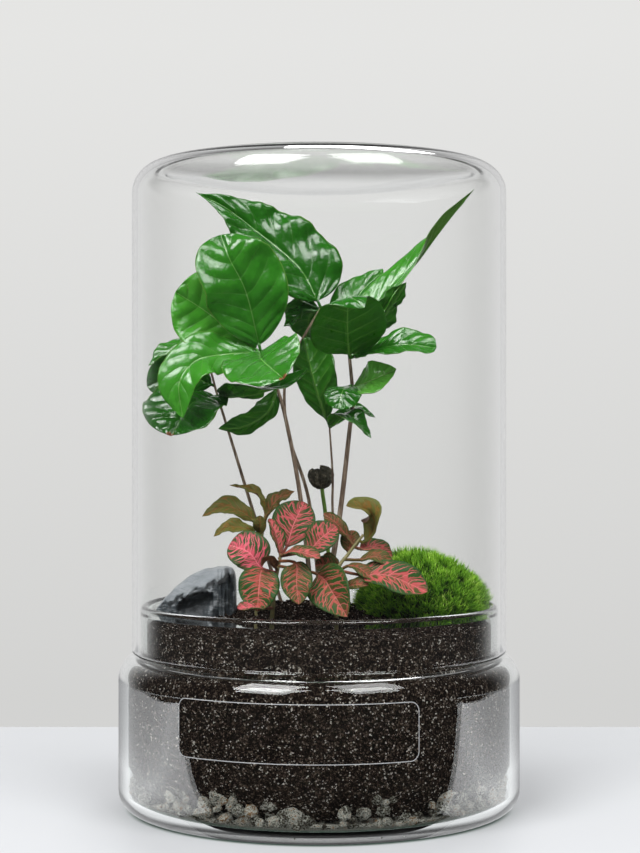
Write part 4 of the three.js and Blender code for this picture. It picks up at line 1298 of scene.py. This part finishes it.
def vein_masks():
    """A node group that marks a leaf's midrib and its side veins. A side vein lies where the
    phase is a whole number, and both fade towards the tip and the margin."""
    group = bpy.data.node_groups.new("leaf_veins", "ShaderNodeTree")
    for name in ("Phase", "Side", "From Rib", "Along", "Vein Width", "Rib Width"):
        group.interface.new_socket(name, in_out="INPUT", socket_type="NodeSocketFloat")
    for name in ("Rib", "Veins"):
        group.interface.new_socket(name, in_out="OUTPUT", socket_type="NodeSocketFloat")
    given = node(group, "NodeGroupInput").outputs
    made = node(group, "NodeGroupOutput")
    to_vein = math_of(group, "PINGPONG", given["Phase"], 0.5)
    vein = math_of(group, "DIVIDE", to_vein, given["Vein Width"])
    line = between(group, vein, 0.35, 1.0, 1.0, 0.0)
    reach = math_of(group, "ABSOLUTE", given["Side"])
    line = math_of(group, "MULTIPLY", line, between(group, reach, 0.55, 0.98, 1.0, 0.0))
    narrowing = math_of(group, "MULTIPLY_ADD", given["Along"], -0.6, 1.0)
    rib_half = math_of(group, "MULTIPLY", given["Rib Width"], narrowing)
    from_rib = math_of(group, "DIVIDE", given["From Rib"], rib_half)
    from_rib = math_of(group, "MAXIMUM", from_rib, math_of(group, "MULTIPLY", reach, 6.0))
    rib = between(group, from_rib, 0.6, 1.0, 1.0, 0.0)
    tip = between(group, given["Along"], 0.86, 0.98, 1.0, 0.0)
    line = math_of(group, "MULTIPLY", line, tip)
    group.links.new(line, made.inputs["Veins"])
    group.links.new(rib, made.inputs["Rib"])
    return group


leaf_veins = vein_masks()


def vein_node(tree, vein_width, rib_width, phase=None):
    """The vein group, fed from the piece's own values, or from a changed phase."""
    return node(
        tree,
        "ShaderNodeGroup",
        {
            "Phase": phase or attribute(tree, "vein_phase"),
            "Side": attribute(tree, "vein_side"),
            "From Rib": attribute(tree, "from_rib"),
            "Along": attribute(tree, "along"),
            "Vein Width": vein_width,
            "Rib Width": rib_width,
        },
        node_tree=leaf_veins,
    ).outputs


coffee_leaf, tree, shader = finish_of("coffee_leaf", Coat_Roughness=0.06, Coat_IOR=1.5)
place = place_in(tree)
veins = vein_node(tree, 0.08, 0.5)
tone = attribute(tree, "tone")
under = attribute(tree, "underside")
mottle = noise(tree, place, 110, 5.0, 0.6).outputs["Fac"]
# A leaf's tone sets how light its green is. It is partly the leaf's own colour, and partly painted
# light and shade, set leaf by leaf for how brightly each is lit.
top_green = ramp(
    tree,
    math_of(tree, "ADD", tone, math_of(tree, "MULTIPLY_ADD", mottle, 0.3, -0.15)),
    [
        (0.0, (0.005, 0.03, 0.002)),
        (0.3, (0.014, 0.12, 0.005)),
        (0.6, (0.05, 0.27, 0.018)),
        (1.0, (0.18, 0.46, 0.08)),
    ],
)
vein_green = blend_of(tree, tone, (0.05, 0.2, 0.02, 1), (0.32, 0.56, 0.17, 1))
lines = math_of(
    tree,
    "MAXIMUM",
    math_of(tree, "MULTIPLY", veins["Veins"], 0.12),
    math_of(tree, "MULTIPLY", veins["Rib"], 0.7),
)
top_green = blend_of(tree, lines, top_green, vein_green)
reach = math_of(tree, "ABSOLUTE", attribute(tree, "vein_side"))
margin = between(tree, reach, 0.965, 1.0, 0.0, 0.5)
top_green = blend_of(tree, margin, top_green, (0.2, 0.3, 0.07, 1))
# The underside is dark green, partly painted shade as it faces away from the lamps, and paler on
# leaves of higher tone.
back = blend_of(tree, mottle, (0.006, 0.06, 0.001, 1), (0.03, 0.17, 0.006, 1))
back = blend_of(tree, between(tree, tone, 0.35, 0.7, 0.0, 0.8), back, (0.15, 0.25, 0.05, 1))
back_veins = math_of(tree, "MULTIPLY", veins["Veins"], 0.6)
back_lines = math_of(tree, "MAXIMUM", veins["Rib"], back_veins)
back = blend_of(tree, back_lines, back, (0.07, 0.19, 0.025, 1))
green = blend_of(tree, under, top_green, back)
burn = noise(tree, place, 160, 3.0).outputs["Fac"]
burnt = between(tree, math_of(tree, "ADD", attribute(tree, "spot"), burn), 0.95, 1.1)
green = blend_of(tree, burnt, green, (0.2, 0.07, 0.025, 1))
tree.links.new(green, shader.inputs["Base Color"])
dull = math_of(tree, "MULTIPLY_ADD", under, 0.12, 0.12)
tree.links.new(math_of(tree, "MULTIPLY_ADD", mottle, 0.1, dull), shader.inputs["Roughness"])
# The upper side has a thin coat of wax.
tree.links.new(math_of(tree, "MULTIPLY_ADD", under, -0.6, 0.6), shader.inputs["Coat Weight"])
# Fine cross veins between the side veins wrinkle the blade and break up its gloss.
cells = node(tree, "ShaderNodeTexVoronoi", {"Vector": place, "Scale": 330.0})
wrinkles = noise(tree, place, 620, 4.0, 0.6).outputs["Fac"]
wrinkles = math_of(tree, "MULTIPLY_ADD", cells.outputs["Distance"], -0.8, wrinkles)
raised = math_of(tree, "MULTIPLY_ADD", veins["Veins"], -0.6, wrinkles)
bump(tree, shader, raised, 0.5, 0.5)

brown_stem, tree, shader = finish_of("brown_stem", Roughness=0.6)
place = place_in(tree)
streaks = node(tree, "ShaderNodeMapping", {"Vector": place, "Scale": (1.0, 1.0, 0.15)})
bark = noise(tree, streaks.outputs[0], 900, 4.0).outputs["Fac"]
tree.links.new(
    ramp(
        tree,
        bark,
        [
            (0.35, (0.1, 0.06, 0.04)),
            (0.52, (0.22, 0.15, 0.1)),
            (0.68, (0.42, 0.34, 0.25)),
        ],
    ),
    shader.inputs["Base Color"],
)
bump(tree, shader, bark, 0.5, 0.2)

for name, one in COFFEE_PLANTS.items():
    plant(name, one["stem"], one["radius"], one["leaves"], [brown_stem, coffee_leaf])

# ---------------------------------------------------------------- nerve plants
# Three low nerve plants, rooted in the soil in front. Their blunt leaves stand on long stalks
# and carry a net of pink veins on olive green, in some so dense that they look coral all over.
NERVE = dict(
    fold=14, wave=0.5, waves=2, blunt=0.6, taper=0.55, quilt=0.5, veins=7, slant=0.33,
    rows=44, columns=21,
)
SLENDER = dict(blunt=0.75, taper=0.95, wave=0.9, waves=3)
NERVE_PLANTS = {
    "fittonia_left": dict(
        radius=0.95,
        stem=[(-20, -27, 73), (-20, -27, 85), (-18.5, -25.5, 100), (-16.2, -24.5, 112)],
        leaves=[
            dict(
                leaves_stem=(-17, -24.5, 110),
                rib=[(-13.8, -17.5, 115), (-11.2, -15, 123.5), (-6.5, -12, 133.8)],
                face=[(-0.2, -0.9, 0.35)],
                width=20, tone=0.8,
            ),
            dict(
                leaves_stem=(-18, -25, 104),
                rib=[(-24.5, -26, 106.2), (-29.8, -26.5, 112.8), (-38.3, -24, 116)],
                face=[(0.1, -0.85, 0.5)],
                width=19, tone=1,
            ),
            dict(
                leaves_stem=(-18, -25, 103),
                rib=[(-24, -28, 105.5), (-25.2, -34, 98.5), (-25.8, -38, 88.9)],
                face=[(0, -0.85, 0.5)],
                width=18, tone=0.6, blunt=0.5, taper=0.6, wave=0.9,
            ),
            dict(
                leaves_stem=(-17, -24.7, 109),
                rib=[(-10, -30, 108.5), (-9.4, -36, 100), (-8.5, -40, 92)],
                face=[(0, -0.85, 0.5)],
                width=14, tone=0.5, taper=0.7, wave=0.8,
            ),
            dict(
                leaves_stem=(-17.5, -25, 107),
                rib=[(-0.5, -27, 103.5), (6, -35, 96), (11.7, -43, 87)],
                face=[(-0.45, -0.7, 0.5)],
                width=20.5, tone=0.55, fold=22, blunt=0.45, taper=0.8,
            ),
            dict(
                leaves_stem=(-16.4, -24.6, 111),
                rib=[(-16.7, -24, 112.4), (-18.4, -22, 120), (-21.4, -19.5, 127)],
                face=[(0.75, -0.6, 0.1)],
                width=9, tone=0.75,
            ),
            dict(
                leaves_stem=(-16.3, -24.6, 111),
                rib=[(-14.5, -26, 112.2), (-8.5, -31, 113.4), (0.4, -35, 110.8)],
                face=[(0, -0.45, 0.9)],
                width=10, tone=0.7,
            ),
            dict(
                leaves_stem=(-16.6, -24.6, 111),
                rib=[(-5, -22, 113.3), (0.9, -21.5, 118.7), (7.5, -19.5, 123.6)],
                face=[(-0.25, -0.85, 0.45)],
                width=15, tone=0.75,
            ),
            dict(
                leaves_stem=(-18, -25, 105),
                rib=[(-18.5, -27, 106.5), (-21.5, -31, 110.5), (-24.5, -32.5, 107.5)],
                face=[(0.2, 0.3, 0.9)],
                width=7, tone=0.5,
            ),
            dict(
                leaves_stem=(-19.7, -26.8, 89),
                rib=[(-23.5, -34, 89.8), (-28, -39.5, 91), (-33.8, -42.5, 90.4)],
                face=[(0, -0.5, 0.85)],
                width=8, tone=0.9,
            ),
        ],
    ),
    "fittonia_rear": dict(
        radius=0.8,
        stem=[
            (-27, -16, 73), (-27, -16, 84), (-26.9, -15.5, 90), (-26, -11, 108), (-23.6, -7, 128),
        ],
        leaves=[
            dict(
                leaves_stem=(-24.3, -8, 122),
                rib=[(-23.3, -6.5, 128.5), (-25.2, -5, 135), (-30, -4, 139), (-39.3, -3.5, 140.8)],
                face=[(0.75, -0.4, 0.6), (0.3, -0.5, 0.9)],
                width=6, tone=0.05, **SLENDER,
            ),
            dict(
                leaves_stem=(-24, -7.5, 124),
                rib=[(-22.5, -7.5, 128), (-18.5, -7, 134.5), (-10.7, -7, 138.2)],
                face=[(-0.35, -0.7, 0.65)],
                width=8.5, tone=0.22, **SLENDER,
            ),
            dict(
                leaves_stem=(-25, -9, 117),
                rib=[
                    (-28.3, -8.5, 125), (-34.5, -9, 129.8), (-41.5, -9.5, 131.8),
                    (-50.8, -10, 127.4),
                ],
                face=[(0.1, -0.75, 0.65), (-0.1, -0.7, 0.7)],
                width=10, tone=0.1, **SLENDER,
            ),
            dict(
                leaves_stem=(-25.7, -10.5, 111),
                rib=[(-28, -12, 120), (-33, -14, 122.6), (-39.5, -15.5, 123), (-45.4, -16, 119)],
                face=[(0, -0.65, 0.75)],
                width=8, tone=0.05, **SLENDER,
            ),
            dict(
                leaves_stem=(-25.5, -10, 113),
                rib=[(-25.8, -12, 120), (-25.6, -14, 124), (-25.4, -14.5, 128)],
                face=[(-0.1, -0.9, 0.3)],
                width=6, tone=0.1,
            ),
        ],
    ),
    "fittonia_right": dict(
        radius=0.95,
        stem=[(7.3, -24, 73), (7.3, -24, 85), (7.7, -24, 104), (13, -22, 112.5), (19, -20, 120)],
        leaves=[
            dict(
                leaves_stem=(17, -20.6, 117.5),
                rib=[
                    (20, -20.3, 117), (23.6, -21, 123), (23, -22, 128.8), (18.5, -24, 131.6),
                    (11.5, -26, 132.6),
                ],
                face=[(-0.8, -0.5, 0.2), (-0.6, -0.6, 0.4), (-0.2, -0.6, 0.75)],
                width=12, tone=0.05, fold=28,
            ),
            dict(
                leaves_stem=(15, -21.3, 115),
                rib=[(12.2, -17, 119), (7, -15, 125), (2, -13.5, 128.8)],
                face=[(0.3, -0.8, 0.5)],
                width=7, tone=0.4,
            ),
            dict(
                leaves_stem=(12, -22.3, 111),
                rib=[(12.8, -17, 112.5), (13.6, -14.5, 117), (14.2, -12, 121.5)],
                face=[(-0.2, -0.85, 0.4)],
                width=9, tone=0.35,
            ),
            dict(
                leaves_stem=(15, -21.3, 115),
                rib=[(17.5, -20, 114), (24, -18, 114.8), (31.5, -16, 110.5)],
                face=[(0, -0.6, 0.8)],
                width=10, tone=0.7,
            ),
            dict(
                leaves_stem=(11, -22.6, 109.5),
                rib=[(17.5, -24, 109.5), (24, -26, 111), (31.7, -26, 107.6)],
                face=[(0, -0.5, 0.85)],
                width=9, tone=0.3,
            ),
            dict(
                leaves_stem=(8.5, -23.8, 105),
                rib=[(16.7, -28, 103.5), (29, -33, 103.5), (45.3, -36.5, 97)],
                face=[(0.05, -0.75, 0.65)],
                width=16.5, tone=0.7, wave=1,
            ),
            dict(
                leaves_stem=(8.2, -23.9, 104.5),
                rib=[(12.5, -25.5, 107), (17.5, -29, 106), (22.5, -31.5, 101.5)],
                face=[(0, -0.5, 0.85)],
                width=7, tone=0.4,
            ),
            dict(
                leaves_stem=(7.6, -24, 98),
                rib=[(9.5, -28, 97.5), (15, -31.5, 99.5), (20.8, -34.5, 99.5)],
                face=[(0, -0.6, 0.8)],
                width=8, tone=0.35,
            ),
            dict(
                leaves_stem=(7.7, -24, 103),
                rib=[(6.8, -21.5, 105.3), (3, -20, 107), (-1.7, -19, 106.8)],
                face=[(0.2, -0.8, 0.5)],
                width=9, tone=0.45,
            ),
            dict(
                leaves_stem=(7.7, -24, 104),
                rib=[(7.4, -19.5, 106), (5, -17.5, 109), (2.2, -16.5, 111.5)],
                face=[(0.4, -0.8, 0.4)],
                width=6, tone=0.3,
            ),
        ],
    ),
}

nerve_leaf, tree, shader = finish_of("nerve_leaf", Roughness=0.4, Specular_IOR_Level=0.15)
place = place_in(tree)
drift = noise(tree, place, 260, 3.0).outputs["Fac"]
wandering = math_of(
    tree, "ADD", attribute(tree, "vein_phase"), math_of(tree, "MULTIPLY_ADD", drift, 0.9, -0.45)
)
pink = attribute(tree, "tone")
reach = math_of(tree, "ABSOLUTE", attribute(tree, "vein_side"))
# A net of cells drawn out from the midrib to the margin, with pink lines between green islands.
net_place = node(
    tree,
    "ShaderNodeCombineXYZ",
    {
        0: math_of(tree, "MULTIPLY", wandering, 1.6),
        1: math_of(tree, "MULTIPLY", attribute(tree, "vein_side"), 1.3),
        2: math_of(tree, "MULTIPLY", pink, 23.0),
    },
)
net = node(
    tree,
    "ShaderNodeTexVoronoi",
    {"Vector": net_place.outputs[0], "Scale": 1.0, "Randomness": 0.9},
    feature="DISTANCE_TO_EDGE",
)
spread = math_of(tree, "MULTIPLY_ADD", reach, -0.1, 0.15)
spread = math_of(tree, "MULTIPLY", spread, math_of(tree, "MULTIPLY_ADD", pink, 0.6, 0.45))
net_lines = between(
    tree, math_of(tree, "DIVIDE", net.outputs["Distance"], spread), 0.35, 1.2, 1.0, 0.0
)
veins = vein_node(tree, 0.1, 0.5, wandering)
near_rib = between(tree, attribute(tree, "from_rib"), 0.4, 3.4, 1.0, 0.0)
green = ramp(
    tree,
    pink,
    [
        (0.0, (0.13, 0.14, 0.03)),
        (0.2, (0.065, 0.08, 0.02)),
        (0.6, (0.022, 0.075, 0.014)),
        (1.0, (0.035, 0.075, 0.022)),
    ],
)
vein_pink = ramp(
    tree,
    pink,
    [
        (0.0, (0.2, 0.12, 0.02)),
        (0.2, (0.22, 0.07, 0.03)),
        (0.6, (0.42, 0.08, 0.065)),
        (1.0, (0.62, 0.1, 0.14)),
    ],
)
pale_pink = blend_of(tree, pink, (0.22, 0.14, 0.04, 1), (0.8, 0.3, 0.32, 1))
flush = math_of(tree, "MULTIPLY", near_rib, math_of(tree, "MULTIPLY", pink, 0.4))
colour = blend_of(tree, flush, green, vein_pink)
fine_lines = math_of(tree, "MAXIMUM", net_lines, veins["Veins"])
fading = math_of(tree, "MULTIPLY", fine_lines, between(tree, reach, 0.72, 1.0, 1.0, 0.0))
colour = blend_of(tree, fading, colour, vein_pink)
colour = blend_of(tree, veins["Rib"], colour, vein_pink)
core = vein_node(tree, 0.05, 0.3, wandering)
core_line = math_of(tree, "MAXIMUM", core["Veins"], core["Rib"])
colour = blend_of(tree, math_of(tree, "MULTIPLY", core_line, 0.5), colour, pale_pink)
tree.links.new(
    blend_of(tree, attribute(tree, "underside"), colour, (0.15, 0.07, 0.035, 1)),
    shader.inputs["Base Color"],
)
puckers = noise(tree, place, 900, 3.0).outputs["Fac"]
sunk = math_of(tree, "MULTIPLY_ADD", fading, -1.0, puckers)
bump(tree, shader, sunk, 0.5, 0.4)

nerve_stem, tree, shader = finish_of("nerve_stem", Roughness=0.6)
place = place_in(tree)
tree.links.new(
    blend_of(
        tree,
        noise(tree, place, 300, 4.0).outputs["Fac"],
        (0.12, 0.13, 0.035, 1),
        (0.32, 0.26, 0.12, 1),
    ),
    shader.inputs["Base Color"],
)

for name, one in NERVE_PLANTS.items():
    leaves = []
    for shape in one["leaves"]:
        shape = dict(NERVE, **shape)
        foot = shape.pop("leaves_stem")
        shape["rib"] = [foot, *shape["rib"]]
        lengths = np.linalg.norm(np.diff(np.array(shape["rib"], float), axis=0), axis=1)
        shape["stem"] = lengths[0] / lengths.sum()
        leaves.append(shape)
    plant(name, one["stem"], one["radius"], leaves, [nerve_stem, nerve_leaf])

# ---------------------------------------------------------------- coffee sprout
# A coffee bean that has just come up from the soil: a bare green stem that still carries the
# bean's dark, dry coat, split open at the top.
SPROUT_ROUTE = [(5.5, 16, 73), (5.5, 16, 85), (3.2, 16, 123), (1.5, 16, 137), (1.4, 16, 141.5)]
SPROUT_RADIUS = 0.9
SPROUT_ROWS, SPROUT_COLUMNS = 60, 16
COAT = dict(wide=5.8, deep=4.6, below=6.2, above=4.4)
COAT_AT = (0.8, 16, 144.7)
COAT_TORN = 4.0
COAT_ROWS, COAT_COLUMNS = 60, 90

sprout_green, tree, shader = finish_of("sprout_green", Roughness=0.4)
place = place_in(tree)
tree.links.new(
    blend_of(
        tree,
        noise(tree, place, 200, 4.0).outputs["Fac"],
        (0.08, 0.2, 0.02, 1),
        (0.24, 0.42, 0.07, 1),
    ),
    shader.inputs["Base Color"],
)
sprout_radii = [SPROUT_RADIUS, SPROUT_RADIUS]
sprout_mesh = tube(SPROUT_ROUTE, sprout_radii, SPROUT_ROWS, SPROUT_COLUMNS)
sprout = new_mesh("sprout", *sprout_mesh, sprout_green)
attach(sprout, "root")
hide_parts("sprout_stem")

lift = np.linspace(-np.pi / 2 + 0.02, np.pi / 2 - 0.02, COAT_ROWS)[:, None]
spin = np.linspace(0, 2 * np.pi, COAT_COLUMNS, endpoint=False)
wrinkle = 1 + 0.03 * np.sin(9 * spin + 3 * lift) * np.cos(7 * lift) + 0.02 * np.sin(23 * spin)
coat_x = COAT["wide"] * np.cos(lift) * np.cos(spin) * wrinkle
coat_y = COAT["deep"] * np.cos(lift) * np.sin(spin) * wrinkle
coat_z = np.where(np.sin(lift) > 0, COAT["above"], COAT["below"]) * np.sin(lift) * wrinkle
# The coat is torn along a wavy line near its top, lower at the left, and falls in above it.
torn = COAT_TORN - 0.7 * np.sin(4 * spin) - np.where(coat_x < -0.5, 1.6, 0)
coat_z = np.where(coat_z > torn, torn - 0.8 * (coat_z - torn), coat_z)
coat_points = np.stack([coat_x, coat_y, coat_z], -1) + COAT_AT
dry_coat, tree, shader = finish_of("dry_coat", Roughness=0.75)
place = place_in(tree)
crackle = noise(tree, place, 500, 6.0, 0.7).outputs["Fac"]
tree.links.new(
    ramp(
        tree,
        crackle,
        [
            (0.35, (0.015, 0.014, 0.009)),
            (0.55, (0.065, 0.058, 0.036)),
            (0.7, (0.3, 0.26, 0.19)),
        ],
    ),
    shader.inputs["Base Color"],
)
bump(tree, shader, crackle, 0.9, 0.6)
coat = new_mesh("seed_coat", coat_points, capped_grid(COAT_ROWS, COAT_COLUMNS), dry_coat)
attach(coat, "root")
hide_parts("sprout_seed")

# ---------------------------------------------------------------- glass cover
# A tall clear glass cover, open below, that slips over the jar's neck and rests on its shoulder.
# Its top is dished inside a rounded crest, and its lower edge is rounded.
COVER_RADIUS = 82.1
COVER_WALL = 2.5
COVER_FOOT = 67.95
COVER_TOP = 281.4
COVER_SHOULDER = 13
COVER_DISH = 6.4
COVER_TOP_WALL = 3

crest_at = COVER_RADIUS - COVER_SHOULDER
dish_share = np.linspace(0, 0.97, 28)
dish_fall = COVER_DISH * (1 - dish_share**3)
dish_under = np.stack([crest_at * dish_share, COVER_TOP - COVER_TOP_WALL - dish_fall], 1)
dish_over = np.stack([crest_at * dish_share, COVER_TOP - dish_fall], 1)[::-1]
arc_at = (crest_at, COVER_TOP - COVER_SHOULDER)
foot_round = (COVER_RADIUS - COVER_WALL / 2, COVER_FOOT + COVER_WALL / 2, COVER_WALL / 2)
cover_profile = np.vstack(
    [
        dish_under,
        arc(*arc_at, COVER_SHOULDER - COVER_TOP_WALL, 90, 76, 2),
        arc(*arc_at, COVER_SHOULDER - COVER_WALL, 70, 0, 12),
        arc(*foot_round, 180, 360, 12),
        arc(*arc_at, COVER_SHOULDER, 0, 90, 18),
        dish_over,
    ]
)
cover_glass = clear_glass("cover_glass", (0.997, 1.0, 0.998, 1))
cover = new_mesh("cover", *turned(steadied(cover_profile), GLASS_FACETS), cover_glass)
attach(cover, "root")
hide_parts("glass_cover")
